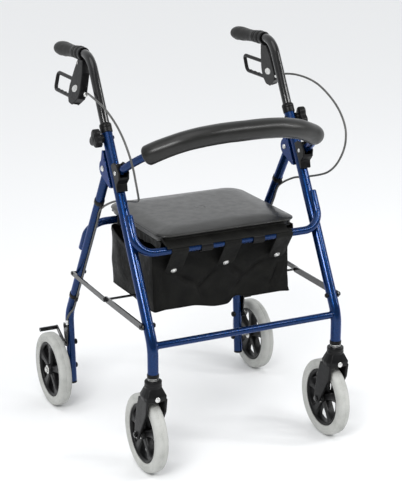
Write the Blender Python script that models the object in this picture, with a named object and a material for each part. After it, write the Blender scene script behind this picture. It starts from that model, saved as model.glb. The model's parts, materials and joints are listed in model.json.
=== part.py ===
"""A folding rollator walker: two hinged leg frames, swivel casters, brakes, seat, backrest and bag.

Metres, +Z up. The floor is z = 0 and the origin is under the middle of the walker. The front casters are
at -Y and the user walks behind at +Y, so the user's left side is +X.
"""

import math

import bmesh
import bpy
from mathutils import Matrix, Vector

for leftover in list(bpy.data.objects):
    bpy.data.objects.remove(leftover)

# Clearances
GAP = 0.0003
RUNNING = 0.0005

# Front legs: upright at the caster, then leaning back up to the handle tube
LEG_X = 0.242
FRONT_R, FRONT_BORE = 0.0127, 0.0115
STEM_Y, FRONT_FOOT_Z, FRONT_BEND_Z, FRONT_TOP_Z = -0.2745, 0.249, 0.322, 0.778
FRONT_SLOPE = 0.547  # metres back for each metre up
LEG_BEND = 0.10

# Rear legs: leaning the other way, then nearly upright beside the wheel
REAR_R, REAR_BORE = 0.0111, 0.0096
PIVOT_Y, PIVOT_Z = -0.035, 0.685
REAR_BEND_Y, REAR_BEND_Z = 0.2386, 0.2366
REAR_FOOT_Y, REAR_FOOT_Z = 0.2276, 0.055
PIN_R = 0.004

# Cross tubes
SEAT_TUBE_R, SEAT_TUBE_BORE = 0.0095, 0.0081
SEAT_TUBE_Z, SEAT_TUBE_BEND = 0.5172, 0.045
FRONT_SEAT_TOP_Z, REAR_SEAT_END_Z = 0.600, 0.440
CROSS_R, CROSS_BORE, CROSS_Z = 0.0085, 0.0071, 0.322

# Handles
HANDLE_R, HANDLE_BORE, HANDLE_FOOT_Z, HANDLE_BEND = 0.0110, 0.0095, 0.600, 0.055
CORNER_Z, GRIP_DROP, GRIP_START, GRIP_END, GRIP_SIDES = 0.934, math.radians(4), 0.1125, 0.2560, 14
CLAMP_START, CLAMP_END, CLAMP_R = 0.0985, 0.1118, 0.0155
KNOB_Z, KNOB_R, KNOB_THICK, KNOB_BOLT_R = 0.757, 0.024, 0.017, 0.003
HOUSING_LEAN, HOUSING_THICK, SLOT_HALF = math.radians(12), 0.020, 0.0062
LEVER_R, LEVER_PIVOT_Y, LEVER_PIVOT_Z = 0.0046, 0.104, 0.842
LOOP_FRONT, LOOP_REAR, LOOP_LOW, LOOP_HIGH = 0.1010, 0.2310, 0.8225, 0.8640

# Seat
SEAT_HALF, SEAT_FRONT, SEAT_REAR = 0.175, -0.181, 0.130
BASE_Z, BASE_THICK, SEAT_TOP_Z = 0.5300, 0.005, 0.550
CLIP_X, CLIP_WIDE, CLIP_R = 0.068, 0.030, 0.0135

# Backrest
BACK_PIVOT_Y, BACK_PIVOT_Z = -0.105, 0.690
BACK_END_X, BACK_END_Y, BACK_END_Z = 0.215, -0.199, 0.749
BACK_MID_Y, BACK_MID_Z, BACK_POWER, FOAM_R = -0.250, 0.794, 3.0, 0.0235

# Bag
BAG_HALF, BAG_FRONT, BAG_REAR, BAG_LOW, BAG_TOP, BAG_WALL = 0.184, -0.142, 0.092, 0.3745, 0.497, 0.003
TAB_X, TAB_WIDE, TAB_THICK, SNAP_Z = 0.134, 0.032, 0.002, 0.454

# Folding braces
BRACE_FRONT_Z, BRACE_MID_Y, BRACE_MID_Z, BRACE_REAR_Z = 0.365, -0.0465, 0.367, 0.373
FRONT_LINK_X, REAR_LINK_X, LINK_THICK = 0.2560, 0.2606, 0.004
FRONT_LINK_HALF, REAR_LINK_HALF, ROD_R = 0.0080, 0.0060, 0.003

# Wheels
WHEEL_R, TYRE_HALF, TYRE_INNER, HUB_OUTER, RIM_INNER = 0.095, 0.0155, 0.0715, 0.0712, 0.0630
REAR_WHEEL_X, REAR_AXLE_Y, CASTER_TRAIL = 0.291, 0.2345, 0.040
AXLE_R, BOSS_R, HUB_HALF, SPOKES, TYRE_SIDES = 0.004, 0.0135, 0.0165, 5, 32
FORK_TOP_Z, NECK_R, ARM_IN, ARM_OUT, CROWN_LOW_Z = 0.2410, 0.0190, 0.0195, 0.0265, 0.1940

# Brakes
BAR_R, BAR_Y, BAR_Z, BAR_OUT = 0.0055, 0.2820, 0.1880, 0.3075
ARM_PIVOT_Y, ARM_PIVOT_Z, ARM_X, ARM_THICK = 0.2330, 0.1600, 0.2585, 0.003
CABLE_R = 0.0025

SIDES = {"left": 1, "right": -1}
X_AXIS = Vector((1, 0, 0))


# ---------------------------------------------------------------- materials

def material(name, colour, roughness, metallic=0.0):
    mat = bpy.data.materials.new(name)
    mat.use_nodes = True
    shader = mat.node_tree.nodes["Principled BSDF"]
    shader.inputs["Base Color"].default_value = (*colour, 1)
    shader.inputs["Roughness"].default_value = roughness
    shader.inputs["Metallic"].default_value = metallic
    return mat


BLUE = material("blue_paint", (0.015, 0.045, 0.25), 0.25, 0.6)
BLACK_METAL = material("black_metal", (0.012, 0.012, 0.012), 0.35, 0.4)
STEEL = material("zinc_steel", (0.60, 0.60, 0.58), 0.35, 1.0)
PLASTIC = material("black_plastic", (0.020, 0.020, 0.020), 0.45)
GRIP_RUBBER = material("grip_rubber", (0.035, 0.035, 0.035), 0.65)
TYRE_RUBBER = material("grey_tyre", (0.42, 0.42, 0.40), 0.60)
VINYL = material("seat_vinyl", (0.045, 0.045, 0.042), 0.40)
FOAM = material("backrest_foam", (0.030, 0.030, 0.028), 0.50)
NYLON = material("bag_nylon", (0.010, 0.010, 0.010), 0.70)
SLEEVE = material("cable_sleeve", (0.060, 0.060, 0.060), 0.50)


# ---------------------------------------------------------------- construction helpers

def empty(name, place, parent=None):
    """An empty on a joint's axis, which the pieces of that body hang from."""
    obj = bpy.data.objects.new(name, None)
    bpy.context.scene.collection.objects.link(obj)
    obj.empty_display_size = 0.03
    if parent:
        obj.parent = parent
        obj.location = Vector(place) - world_place(parent)
    else:
        obj.location = place
    return obj


def world_place(obj):
    place = Vector((0, 0, 0))
    while obj:
        place += obj.location
        obj = obj.parent
    return place


def add_piece(name, bm, mat, body, smooth=True):
    """Turns a bmesh in world metres into an object that hangs from its body's empty."""
    bmesh.ops.recalc_face_normals(bm, faces=bm.faces)
    bm.transform(Matrix.Translation(-world_place(body)))
    mesh = bpy.data.meshes.new(name)
    bm.to_mesh(mesh)
    bm.free()
    if smooth:
        mesh.shade_smooth()
        mesh.set_sharp_from_angle(angle=math.radians(35))
    mesh.materials.append(mat)
    obj = bpy.data.objects.new(name, mesh)
    bpy.context.scene.collection.objects.link(obj)
    obj.parent = body
    return obj


def boolean(obj, bm, operation):
    """Joins or cuts obj with a helper solid in world metres, which stays out of the part."""
    kind = "joiner" if operation == "UNION" else "cutter"
    count = sum(1 for m in obj.modifiers if m.type == "BOOLEAN")
    helper = add_piece(f"{obj.name}_{kind}_{count}", bm, obj.data.materials[0], obj.parent)
    helper.hide_render = True
    helper.display_type = "WIRE"
    modifier = obj.modifiers.new(kind, "BOOLEAN")
    modifier.object = helper
    modifier.operation = operation
    modifier.solver = "EXACT"


def bridge(bm, ring_a, ring_b):
    count = len(ring_a)
    for i in range(count):
        j = (i + 1) % count
        bm.faces.new((ring_a[i], ring_a[j], ring_b[j], ring_b[i]))


def rounded_path(corners, radius, steps=5):
    """The corners joined by straight runs, each inner corner replaced by an arc of the radius."""
    corners = [Vector(c) for c in corners]
    path = [corners[0]]
    for before, corner, after in zip(corners, corners[1:], corners[2:]):
        a, b = (before - corner).normalized(), (after - corner).normalized()
        half = a.angle(b) / 2
        start = corner + a * (radius / math.tan(half))
        centre = corner + (a + b).normalized() * (radius / math.sin(half))
        spoke = start - centre
        axis = spoke.cross(corner - centre).normalized()
        turn = math.pi - 2 * half
        path += [centre + Matrix.Rotation(turn * i / steps, 3, axis) @ spoke for i in range(steps + 1)]
    return path + [corners[-1]]


def smooth_route(points, spacing):
    """Evenly spaced points on a Catmull-Rom curve through the route's own points."""
    points = [Vector(p) for p in points]
    ends = [points[0] * 2 - points[1], *points, points[-1] * 2 - points[-2]]
    fine = []
    for a, b, c, d in zip(ends, ends[1:], ends[2:], ends[3:]):
        for i in range(12):
            t = i / 12
            fine.append(0.5 * (2 * b + (c - a) * t + (2 * a - 5 * b + 4 * c - d) * t**2
                               + (3 * b - a - 3 * c + d) * t**3))
    fine.append(points[-1])
    lengths = [0.0]
    for a, b in zip(fine, fine[1:]):
        lengths.append(lengths[-1] + (b - a).length)
    count = round(lengths[-1] / spacing)
    route, k = [], 0
    for i in range(count + 1):
        target = lengths[-1] * i / count
        while k < len(fine) - 2 and lengths[k + 1] < target:
            k += 1
        share = (target - lengths[k]) / (lengths[k + 1] - lengths[k])
        route.append(fine[k].lerp(fine[k + 1], min(share, 1.0)))
    return route


def sweep_rings(bm, path, radius, sides, closed=False):
    """Rings of a round section along the path, turned as little as possible from one to the next."""
    count = len(path)
    rings, normal = [], None
    for i, point in enumerate(path):
        before = path[i - 1] if i or closed else path[0]
        after = path[(i + 1) % count] if i + 1 < count or closed else path[-1]
        tangent = (after - before).normalized()
        if normal is None:
            normal = X_AXIS if abs(tangent.x) < 0.9 else Vector((0, 0, 1))
        normal = (normal - normal.dot(tangent) * tangent).normalized()
        side = tangent.cross(normal)
        turns = [2 * math.pi * (k + 0.5) / sides for k in range(sides)]
        rings.append([bm.verts.new(point + radius * (normal * math.cos(t) + side * math.sin(t)))
                      for t in turns])
    return rings


def tube(path, radius, bore=None, sides=12):
    """A swept rod, or an open pipe where a bore is given."""
    bm = bmesh.new()
    outer = sweep_rings(bm, path, radius, sides)
    for a, b in zip(outer, outer[1:]):
        bridge(bm, a, b)
    if bore is None:
        bm.faces.new(outer[0])
        bm.faces.new(outer[-1])
        return bm
    inner = sweep_rings(bm, path, bore, sides)
    for a, b in zip(inner, inner[1:]):
        bridge(bm, a, b)
    bridge(bm, outer[0], inner[0])
    bridge(bm, outer[-1], inner[-1])
    return bm


def turned(profile, centre, axis, sides=16):
    """A solid turned about an axis through centre. The profile's (radius, height) points run round the
    section: from pole to pole where both ends have radius 0, and otherwise as a closed ring."""
    bm = bmesh.new()
    axis = Vector(axis).normalized()
    across = (X_AXIS if abs(axis.x) < 0.9 else Vector((0, 0, 1))).cross(axis).normalized()
    other = axis.cross(across)
    centre = Vector(centre)
    rings = []
    for radius, height in profile:
        foot = centre + axis * height
        if radius == 0:
            rings.append([bm.verts.new(foot)])
            continue
        turns = [2 * math.pi * (k + 0.5) / sides for k in range(sides)]
        rings.append([bm.verts.new(foot + radius * (across * math.cos(t) + other * math.sin(t)))
                      for t in turns])
    pairs = list(zip(rings, rings[1:]))
    if len(rings[0]) > 1:
        pairs.append((rings[-1], rings[0]))
    for a, b in pairs:
        if len(a) == 1 or len(b) == 1:
            pole, ring = (a[0], b) if len(a) == 1 else (b[0], a)
            for i in range(sides):
                bm.faces.new((pole, ring[i], ring[(i + 1) % sides]))
        else:
            bridge(bm, a, b)
    return bm


def cylinder(start, end, radius, sides=12):
    start, end = Vector(start), Vector(end)
    length = (end - start).length
    return turned([(0, 0), (radius, 0), (radius, length), (0, length)], start, end - start, sides)


def extruded(outline, x_low, x_high):
    """A flat outline of (y, z) points with its thickness along X."""
    bm = bmesh.new()
    low = [bm.verts.new((x_low, y, z)) for y, z in outline]
    high = [bm.verts.new((x_high, y, z)) for y, z in outline]
    bm.faces.new(low)
    bm.faces.new(high)
    bridge(bm, low, high)
    return bm


def block(low, high):
    return extruded([(low[1], low[2]), (high[1], low[2]), (high[1], high[2]), (low[1], high[2])],
                    low[0], high[0])


def arc(centre, radius, start, end, steps):
    """Points of an arc in the (y, z) plane, with angles in degrees from +Y towards +Z."""
    angles = [math.radians(start + (end - start) * i / steps) for i in range(steps + 1)]
    return [(centre[0] + radius * math.cos(a), centre[1] + radius * math.sin(a)) for a in angles]


def bevel(obj, width, segments=2):
    modifier = obj.modifiers.new("edge", "BEVEL")
    modifier.width = width
    modifier.segments = segments
    modifier.limit_method = "ANGLE"
    modifier.angle_limit = math.radians(40)


# ---------------------------------------------------------------- lines of the two frames

FRONT_UP = Vector((0, FRONT_SLOPE, 1)).normalized()
FRONT_NORMAL = Vector((0, -FRONT_UP.z, FRONT_UP.y))  # points forward and up off the front legs
REAR_UP = Vector((0, PIVOT_Y - REAR_BEND_Y, PIVOT_Z - REAR_BEND_Z)).normalized()
REAR_NORMAL = Vector((0, REAR_UP.z, -REAR_UP.y))  # points back and up off the rear legs


def front_axis(x, z):
    """The point at height z on the axis of a front leg's leaning part."""
    return Vector((x, STEM_Y + FRONT_SLOPE * (z - FRONT_BEND_Z), z))


def rear_axis(x, z):
    """The point at height z on the axis of a rear leg's leaning part."""
    slope = REAR_UP.y / REAR_UP.z
    return Vector((x, REAR_BEND_Y + slope * (z - REAR_BEND_Z), z))


def grip_axis(x, y):
    """The point at distance y back on the axis of a hand grip."""
    corner = front_axis(x, CORNER_Z)
    return Vector((x, y, CORNER_Z - (y - corner.y) * math.tan(GRIP_DROP)))


# ---------------------------------------------------------------- bodies

front_frame = empty("front_frame", (0, STEM_Y, FRONT_FOOT_Z))
rear_frame = empty("rear_frame", (0, PIVOT_Y, PIVOT_Z), front_frame)


# ---------------------------------------------------------------- front frame

def front_leg_path(x):
    foot = (x, STEM_Y, FRONT_FOOT_Z)
    return rounded_path([foot, (x, STEM_Y, FRONT_BEND_Z), front_axis(x, FRONT_TOP_Z)], LEG_BEND)


def front_leg(side, s):
    x = s * LEG_X
    leg = add_piece(f"front_leg_{side}", tube(front_leg_path(x), FRONT_R, FRONT_BORE, 14), BLUE, front_frame)
    brace = front_axis(x, BRACE_FRONT_Z)
    reach = Vector((0.020, 0, 0))
    boolean(leg, cylinder(brace - reach, brace + reach, KNOB_BOLT_R + RUNNING), "DIFFERENCE")
    knob = front_axis(x, KNOB_Z)
    boolean(leg, cylinder(knob, knob + s * reach, KNOB_BOLT_R + RUNNING), "DIFFERENCE")


def front_cross_tube():
    """The tube's ends are cut to follow the round legs."""
    end = LEG_X - 0.004
    y = STEM_Y + 0.0033  # the legs' axis has started its bend at this height
    cross = add_piece("front_cross_tube", tube([Vector((-end, y, CROSS_Z)), Vector((end, y, CROSS_Z))],
                                               CROSS_R, CROSS_BORE), BLUE, front_frame)
    for x in (-LEG_X, LEG_X):
        boolean(cross, tube(front_leg_path(x), FRONT_R + GAP, None, 14), "DIFFERENCE")


def front_seat_tube():
    """A U whose arms lie on the front faces of the front legs."""
    lift = FRONT_NORMAL * (FRONT_R + SEAT_TUBE_R + GAP)
    drop = lift.z
    corners = []
    for s in (-1, 1):
        top = front_axis(s * LEG_X, FRONT_SEAT_TOP_Z - drop) + lift
        low = front_axis(s * LEG_X, SEAT_TUBE_Z - drop) + lift
        corners.append([top, low])
    path = rounded_path([*corners[0], *reversed(corners[1])], SEAT_TUBE_BEND)
    add_piece("front_seat_tube", tube(path, SEAT_TUBE_R, SEAT_TUBE_BORE), BLUE, front_frame)
    return corners[0][1].y


def hinge_bracket(side, s):
    """A channel on the rear face of the front leg, whose cheeks hold the rear leg's pin."""
    x = s * LEG_X
    back = -FRONT_NORMAL * (FRONT_R + GAP)
    low, high = front_axis(x, 0.655) + back, front_axis(x, 0.735) + back
    outline = [(low.y, low.z), (low.y + 0.010, low.z - 0.001),
               *arc((PIVOT_Y, PIVOT_Z), 0.0205, -75, 60, 7), (high.y + 0.005, high.z), (high.y, high.z)]
    half, wall = REAR_R + RUNNING + 0.0002, 0.0025
    bracket = add_piece(f"hinge_bracket_{side}", extruded(outline, x - half - wall, x + half + wall),
                        BLUE, front_frame)
    inner = back - FRONT_NORMAL * 0.0025
    low, high = front_axis(x, 0.560) + inner, front_axis(x, 0.780) + inner
    slot = [(low.y, low.z), (low.y + 0.20, low.z), (high.y + 0.20, high.z), (high.y, high.z)]
    boolean(bracket, extruded(slot, x - half, x + half), "DIFFERENCE")
    pin = Vector((x, PIVOT_Y, PIVOT_Z))
    reach = Vector((0.030, 0, 0))
    boolean(bracket, cylinder(pin - reach, pin + reach, PIN_R + GAP), "DIFFERENCE")


def hinge_pin(side, s):
    half = REAR_R + RUNNING + 0.0002 + 0.0025 + GAP
    profile = [(0, -half - 0.003), (0.0065, -half - 0.003), (0.0065, -half), (PIN_R, -half),
               (PIN_R, half), (0.0070, half), (0.0055, half + 0.0035), (0, half + 0.0035)]
    bm = turned(profile, (s * LEG_X, PIVOT_Y, PIVOT_Z), (s, 0, 0), 12)
    add_piece(f"hinge_pin_{side}", bm, STEEL, front_frame)


def height_collar(side, s):
    """The bush on top of the leg that the handle tube slides in."""
    start = front_axis(s * LEG_X, FRONT_TOP_Z) + FRONT_UP * GAP
    inner, outer = HANDLE_R + GAP, FRONT_R + 0.0018
    profile = [(inner, 0), (outer, 0), (outer, 0.008), (outer - 0.0015, 0.011), (inner, 0.011)]
    add_piece(f"height_collar_{side}", turned(profile, start, FRONT_UP), PLASTIC, front_frame)


def backrest_bracket(side, s):
    """A clevis on the front face of the leg, with a tail that runs down it."""
    x = s * LEG_X
    seat = FRONT_R + GAP
    origin = front_axis(x, 0.680)

    def place(up, out):
        point = origin + FRONT_UP * up + FRONT_NORMAL * out
        return point.y, point.z

    outline = [place(*p) for p in ((-0.046, seat), (0.020, seat), (0.021, 0.030), (0.012, 0.044),
                                   (-0.010, 0.050), (-0.024, 0.041), (-0.030, 0.024), (-0.046, 0.019))]
    bracket = add_piece(f"backrest_bracket_{side}", extruded(outline, x - 0.0135, x + 0.0135),
                        PLASTIC, front_frame)
    slot = [place(*p) for p in ((-0.0185, 0.0175), (0.060, 0.0175), (0.060, 0.090), (-0.0185, 0.090))]
    half = SEAT_TUBE_R + RUNNING
    boolean(bracket, extruded(slot, x - half, x + half), "DIFFERENCE")


# ---------------------------------------------------------------- rear frame

def rear_leg(side, s):
    x = s * LEG_X
    top = rear_axis(x, PIVOT_Z + 0.012)
    corner, foot = (x, REAR_BEND_Y, REAR_BEND_Z), (x, REAR_FOOT_Y, REAR_FOOT_Z)
    path = rounded_path([top, corner, foot], 0.080)
    leg = add_piece(f"rear_leg_{side}", tube(path, REAR_R, REAR_BORE, 14), BLUE, rear_frame)
    reach = Vector((0.020, 0, 0))
    for y, z, radius in ((PIVOT_Y, PIVOT_Z, PIN_R + RUNNING), (REAR_AXLE_Y, WHEEL_R, AXLE_R + RUNNING),
                         (ARM_PIVOT_Y, ARM_PIVOT_Z, 0.003 + RUNNING)):
        at = Vector((x, y, z))
        boolean(leg, cylinder(at - reach, at + reach, radius), "DIFFERENCE")


def rear_seat_tube():
    """An arch whose arms lie on the rear faces of the rear legs."""
    lift = REAR_NORMAL * (REAR_R + SEAT_TUBE_R + GAP)
    corners = []
    for s in (-1, 1):
        end = rear_axis(s * LEG_X, REAR_SEAT_END_Z - lift.z) + lift
        high = rear_axis(s * LEG_X, SEAT_TUBE_Z - lift.z) + lift
        corners.append([end, high])
    path = rounded_path([*corners[0], *reversed(corners[1])], SEAT_TUBE_BEND)
    add_piece("rear_seat_tube", tube(path, SEAT_TUBE_R, SEAT_TUBE_BORE), BLUE, rear_frame)
    return corners[0][1].y


def brake_bracket(side, s):
    """The plate on the outside of the leg that the brake arm turns on, and the cable's stop."""
    inner = LEG_X + REAR_R + GAP
    outline = [*arc((ARM_PIVOT_Y, ARM_PIVOT_Z), 0.009, 150, 380, 6), (0.2480, 0.2060), (0.2460, 0.2120),
               (0.2210, 0.2120), (0.2190, 0.2060)]
    x_low, x_high = sorted((s * inner, s * (inner + 0.0025)))
    plate = add_piece(f"brake_bracket_{side}", extruded(outline, x_low, x_high), BLACK_METAL, rear_frame)
    stop = Vector((s * (inner + 0.0015), 0.2240, 0.2065))
    boolean(plate, block(stop - Vector((0.0015, 0.004, 0.004)), stop + Vector((0.0015, 0.004, 0.004))),
            "UNION")
    at = Vector((s * inner, ARM_PIVOT_Y, ARM_PIVOT_Z))
    reach = Vector((0.010, 0, 0))
    boolean(plate, cylinder(at - reach, at + reach, 0.003 + RUNNING), "DIFFERENCE")


# ---------------------------------------------------------------- brake arms

def brake_arm(side, s):
    """The bent arm, its pivot bolt through the leg, and the ribbed bar over the tyre, as one weldment."""
    body = empty(f"brake_{side}", (s * ARM_X, ARM_PIVOT_Y, ARM_PIVOT_Z), rear_frame)
    thick = s * ARM_THICK
    arm_in = s * ARM_X
    low, high = sorted((arm_in, arm_in + thick))
    pivot, bar = (ARM_PIVOT_Y, ARM_PIVOT_Z), (BAR_Y, BAR_Z)
    outline = [*arc(pivot, 0.008, 120, 300, 5), *arc(bar, 0.0062, -60, 120, 5)]
    arm = add_piece(f"brake_arm_{side}", extruded(outline, low, high), BLACK_METAL, body)
    bar_start = (arm_in + thick / 2, BAR_Y, BAR_Z)
    boolean(arm, cylinder(bar_start, (s * BAR_OUT, BAR_Y, BAR_Z), BAR_R), "UNION")
    inner_end = s * (LEG_X - REAR_R - 0.004)
    boolean(arm, cylinder((inner_end, *pivot), (arm_in + thick / 2, *pivot), 0.003, 10), "UNION")


# ---------------------------------------------------------------- handles

def handle_path(x):
    corner = front_axis(x, CORNER_Z)
    end = grip_axis(x, GRIP_END - 0.014)
    return rounded_path([front_axis(x, HANDLE_FOOT_Z), corner, end], HANDLE_BEND, 6)


def hand_grip(side, s, body):
    """A palm grip with a collar and a waist, bored for the handle tube."""
    x = s * LEG_X
    start, end = grip_axis(x, GRIP_START), grip_axis(x, GRIP_END)
    along = (end - start).normalized()
    up = Vector((0, -along.z, along.y))
    length = (end - start).length
    bore_depth = (grip_axis(x, GRIP_END - 0.013) - start).length
    bm = bmesh.new()

    def ring(distance, half_wide, half_high, rise=0.0):
        centre = start + along * distance + up * rise
        turns = [2 * math.pi * k / GRIP_SIDES for k in range(GRIP_SIDES)]
        return [bm.verts.new(centre + X_AXIS * half_wide * math.cos(t) + up * half_high * math.sin(t))
                for t in turns]

    outside = [ring(0.000, 0.0150, 0.0150), ring(0.010, 0.0168, 0.0168), ring(0.022, 0.0160, 0.0160),
               ring(0.034, 0.0142, 0.0145), ring(0.060, 0.0152, 0.0150), ring(0.090, 0.0185, 0.0168, 0.0005),
               ring(0.116, 0.0205, 0.0180, 0.0010), ring(0.132, 0.0195, 0.0168, 0.0010),
               ring(length - 0.003, 0.0135, 0.0115, 0.0008)]
    bore = [ring(distance, HANDLE_R + GAP, HANDLE_R + GAP) for distance in (0, bore_depth)]
    for a, b in zip([bore[1], bore[0], *outside], [bore[0], *outside]):
        bridge(bm, a, b)
    bm.faces.new(bore[1])
    tip = bm.verts.new(end + up * 0.0008)
    for i in range(GRIP_SIDES):
        bm.faces.new((tip, outside[-1][i], outside[-1][(i + 1) % GRIP_SIDES]))
    add_piece(f"hand_grip_{side}", bm, GRIP_RUBBER, body)


def lean(s):
    """The turn that leans a brake's solids outward about its clamp."""
    hinge = grip_axis(s * LEG_X, CLAMP_START)
    turn = Matrix.Rotation(-s * HOUSING_LEAN, 4, Vector((0, 1, 0)))
    return Matrix.Translation(hinge) @ turn @ Matrix.Translation(-hinge)


def brake_housing(side, s, body):
    """A flat shell that hangs from its clamp, slotted at the back for the loop lever."""
    x = s * LEG_X
    half = HOUSING_THICK / 2
    outline = [(0.0800, 0.9175), (0.1080, 0.9160), (0.1180, 0.8900), (0.1290, 0.8500), (0.1290, 0.8260),
               (0.1180, 0.8100), (0.0980, 0.8080), (0.0680, 0.8280), (0.0620, 0.8420), (0.0680, 0.8900)]
    shell = extruded(outline, x - half, x + half)
    shell.transform(lean(s))
    housing = add_piece(f"brake_housing_{side}", shell, PLASTIC, body)
    slot = block((x - SLOT_HALF, 0.0860, 0.7900), (x + SLOT_HALF, 0.1600, 0.8930))
    slot.transform(lean(s))
    boolean(housing, slot, "DIFFERENCE")
    start, end = grip_axis(x, CLAMP_START), grip_axis(x, CLAMP_END)
    along = end - start
    boolean(housing, cylinder(start, end, CLAMP_R, 16), "UNION")
    boolean(housing, cylinder(start - along, end + along, HANDLE_R + GAP, 16), "DIFFERENCE")


def brake_lever(side, s, handle):
    """A squared loop of bar. Its front run turns inside the housing's slot."""
    x = s * LEG_X
    body = empty(f"lever_{side}", lean(s) @ Vector((x, LEVER_PIVOT_Y, LEVER_PIVOT_Z)), handle)
    middle = Vector((x, (LOOP_FRONT + LOOP_REAR) / 2, LOOP_LOW))
    corners = [Vector((x, LOOP_REAR, LOOP_LOW)), Vector((x, LOOP_REAR, LOOP_HIGH)),
               Vector((x, LOOP_FRONT, LOOP_HIGH)), Vector((x, LOOP_FRONT, LOOP_LOW))]
    loop = rounded_path([middle, *corners, middle], 0.010, 3)[:-1]
    bm = bmesh.new()
    rings = sweep_rings(bm, loop, LEVER_R, 10, closed=True)
    for a, b in zip(rings, [*rings[1:], rings[0]]):
        bridge(bm, a, b)
    bm.transform(lean(s))
    add_piece(f"brake_lever_{side}", bm, PLASTIC, body)


def height_knob(side, s):
    """A three-lobed knob with its bolt through the leg's outer wall."""
    at = front_axis(s * LEG_X, KNOB_Z)
    body = empty(f"knob_{side}", at, front_frame)
    base = LEG_X + FRONT_R + 0.0008
    points = 24
    outline = []
    for k in range(points):
        turn = 2 * math.pi * k / points
        radius = KNOB_R * (0.80 + 0.20 * math.cos(3 * turn))
        outline.append((at.y + radius * math.sin(turn), at.z + radius * math.cos(turn)))
    low, high = sorted((s * (base + 0.008), s * (base + 0.008 + KNOB_THICK)))
    knob = add_piece(f"height_knob_{side}", extruded(outline, low, high), PLASTIC, body)
    boss_end = (s * (base + 0.010), at.y, at.z)
    boolean(knob, cylinder((s * base, at.y, at.z), boss_end, 0.009), "UNION")
    tip = (s * (LEG_X + HANDLE_R + GAP), at.y, at.z)
    boolean(knob, cylinder(tip, boss_end, KNOB_BOLT_R, 10), "UNION")


def handles():
    for side, s in SIDES.items():
        body = empty(f"handle_{side}", front_axis(s * LEG_X, FRONT_TOP_Z), front_frame)
        add_piece(f"handle_tube_{side}", tube(handle_path(s * LEG_X), HANDLE_R, HANDLE_BORE),
                  BLACK_METAL, body)
        hand_grip(side, s, body)
        brake_housing(side, s, body)
        brake_lever(side, s, body)
        height_knob(side, s)


# ---------------------------------------------------------------- backrest

def backrest_route():
    """The bow's axis: straight out of each bracket, then one smooth bend across the front."""
    arm = []
    for share in (0.0, 0.12, 0.28, 0.62, 1.0):
        narrow = max(share - 0.28, 0) / 0.72
        arm.append(Vector((LEG_X + (BACK_END_X - LEG_X) * narrow**1.5,
                           BACK_PIVOT_Y + (BACK_END_Y - BACK_PIVOT_Y) * share,
                           BACK_PIVOT_Z + (BACK_END_Z - BACK_PIVOT_Z) * share)))
    bow = []
    for across in (0.190, 0.150, 0.100, 0.050, 0.0):
        ease = (across / BACK_END_X) ** BACK_POWER
        bow.append(Vector((across, BACK_MID_Y + (BACK_END_Y - BACK_MID_Y) * ease,
                           BACK_MID_Z + (BACK_END_Z - BACK_MID_Z) * ease)))
    half = arm + bow
    return half + [Vector((-p.x, p.y, p.z)) for p in reversed(half[:-1])]


def backrest():
    body = empty("backrest", (0, BACK_PIVOT_Y, BACK_PIVOT_Z), front_frame)
    route = smooth_route(backrest_route(), 0.034)
    add_piece("backrest_tube", tube(route, SEAT_TUBE_R, SEAT_TUBE_BORE), BLUE, body)
    covered = [p for p in route if abs(p.x) < BACK_END_X + 0.004]
    add_piece("backrest_pad", tube(covered, FOAM_R, SEAT_TUBE_R + 2 * RUNNING, 14), FOAM, body)


# ---------------------------------------------------------------- seat

def seat(tube_y):
    body = empty("seat", (0, tube_y, SEAT_TUBE_Z), front_frame)
    base = add_piece("seat_base", block((-SEAT_HALF + 0.006, SEAT_FRONT + 0.004, BASE_Z),
                                        (SEAT_HALF - 0.006, SEAT_REAR - 0.006, BASE_Z + BASE_THICK)),
                     PLASTIC, body, smooth=False)
    bevel(base, 0.002, 1)
    pad = add_piece("seat_pad", block((-SEAT_HALF, SEAT_FRONT, BASE_Z + BASE_THICK + GAP),
                                      (SEAT_HALF, SEAT_REAR, SEAT_TOP_Z)), VINYL, body)
    bevel(pad, 0.005, 3)
    for side, s in SIDES.items():
        seat_clip(side, s, body, tube_y)


def seat_clip(side, s, body, tube_y):
    """A hook round the front seat tube, with a foot under the seat board."""
    centre = (tube_y, SEAT_TUBE_Z)
    low, high = s * CLIP_X - CLIP_WIDE / 2, s * CLIP_X + CLIP_WIDE / 2
    foot_top = BASE_Z - GAP
    foot_low = foot_top - 0.006
    outline = [(tube_y + 0.050, foot_top), (tube_y + 0.012, foot_top), *arc(centre, CLIP_R, 60, 330, 12),
               *arc(centre, SEAT_TUBE_R + RUNNING, 330, 40, 12), (tube_y + 0.012, foot_low),
               (tube_y + 0.050, foot_low)]
    add_piece(f"seat_clip_{side}", extruded(outline, low, high), PLASTIC, body)


# ---------------------------------------------------------------- bag

def strap(x, tube_y, first, last):
    """A webbing loop from first, round the far side of a seat tube and back to last, as (y, z) points."""
    mid = SEAT_TUBE_R + RUNNING + TAB_THICK / 2
    toward = 1 if first[0] < last[0] else -1
    heading, reach = [], []
    for point in (first, last):
        off_y, off_z = point[0] - tube_y, point[1] - SEAT_TUBE_Z
        heading.append(math.degrees(math.atan2(off_z, off_y)))
        reach.append(math.degrees(math.acos(mid / math.hypot(off_y, off_z))))
    start = heading[0] - toward * reach[0]
    end = heading[1] + toward * reach[1]
    while toward * (start - end) < 0:
        start += toward * 360
    near = arc((tube_y, SEAT_TUBE_Z), mid - TAB_THICK / 2, start, end, 8)
    far = arc((tube_y, SEAT_TUBE_Z), mid + TAB_THICK / 2, end, start, 8)
    ends = []
    for point, turn in ((last, end), (first, start)):
        off = Vector((math.cos(math.radians(turn)), math.sin(math.radians(turn)))) * TAB_THICK / 2
        ends.append((Vector(point) - off, Vector(point) + off))
    outline = [tuple(ends[1][0]), *near, tuple(ends[0][0]), tuple(ends[0][1]), *far, tuple(ends[1][1])]
    return extruded(outline, x - TAB_WIDE / 2, x + TAB_WIDE / 2)


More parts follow.
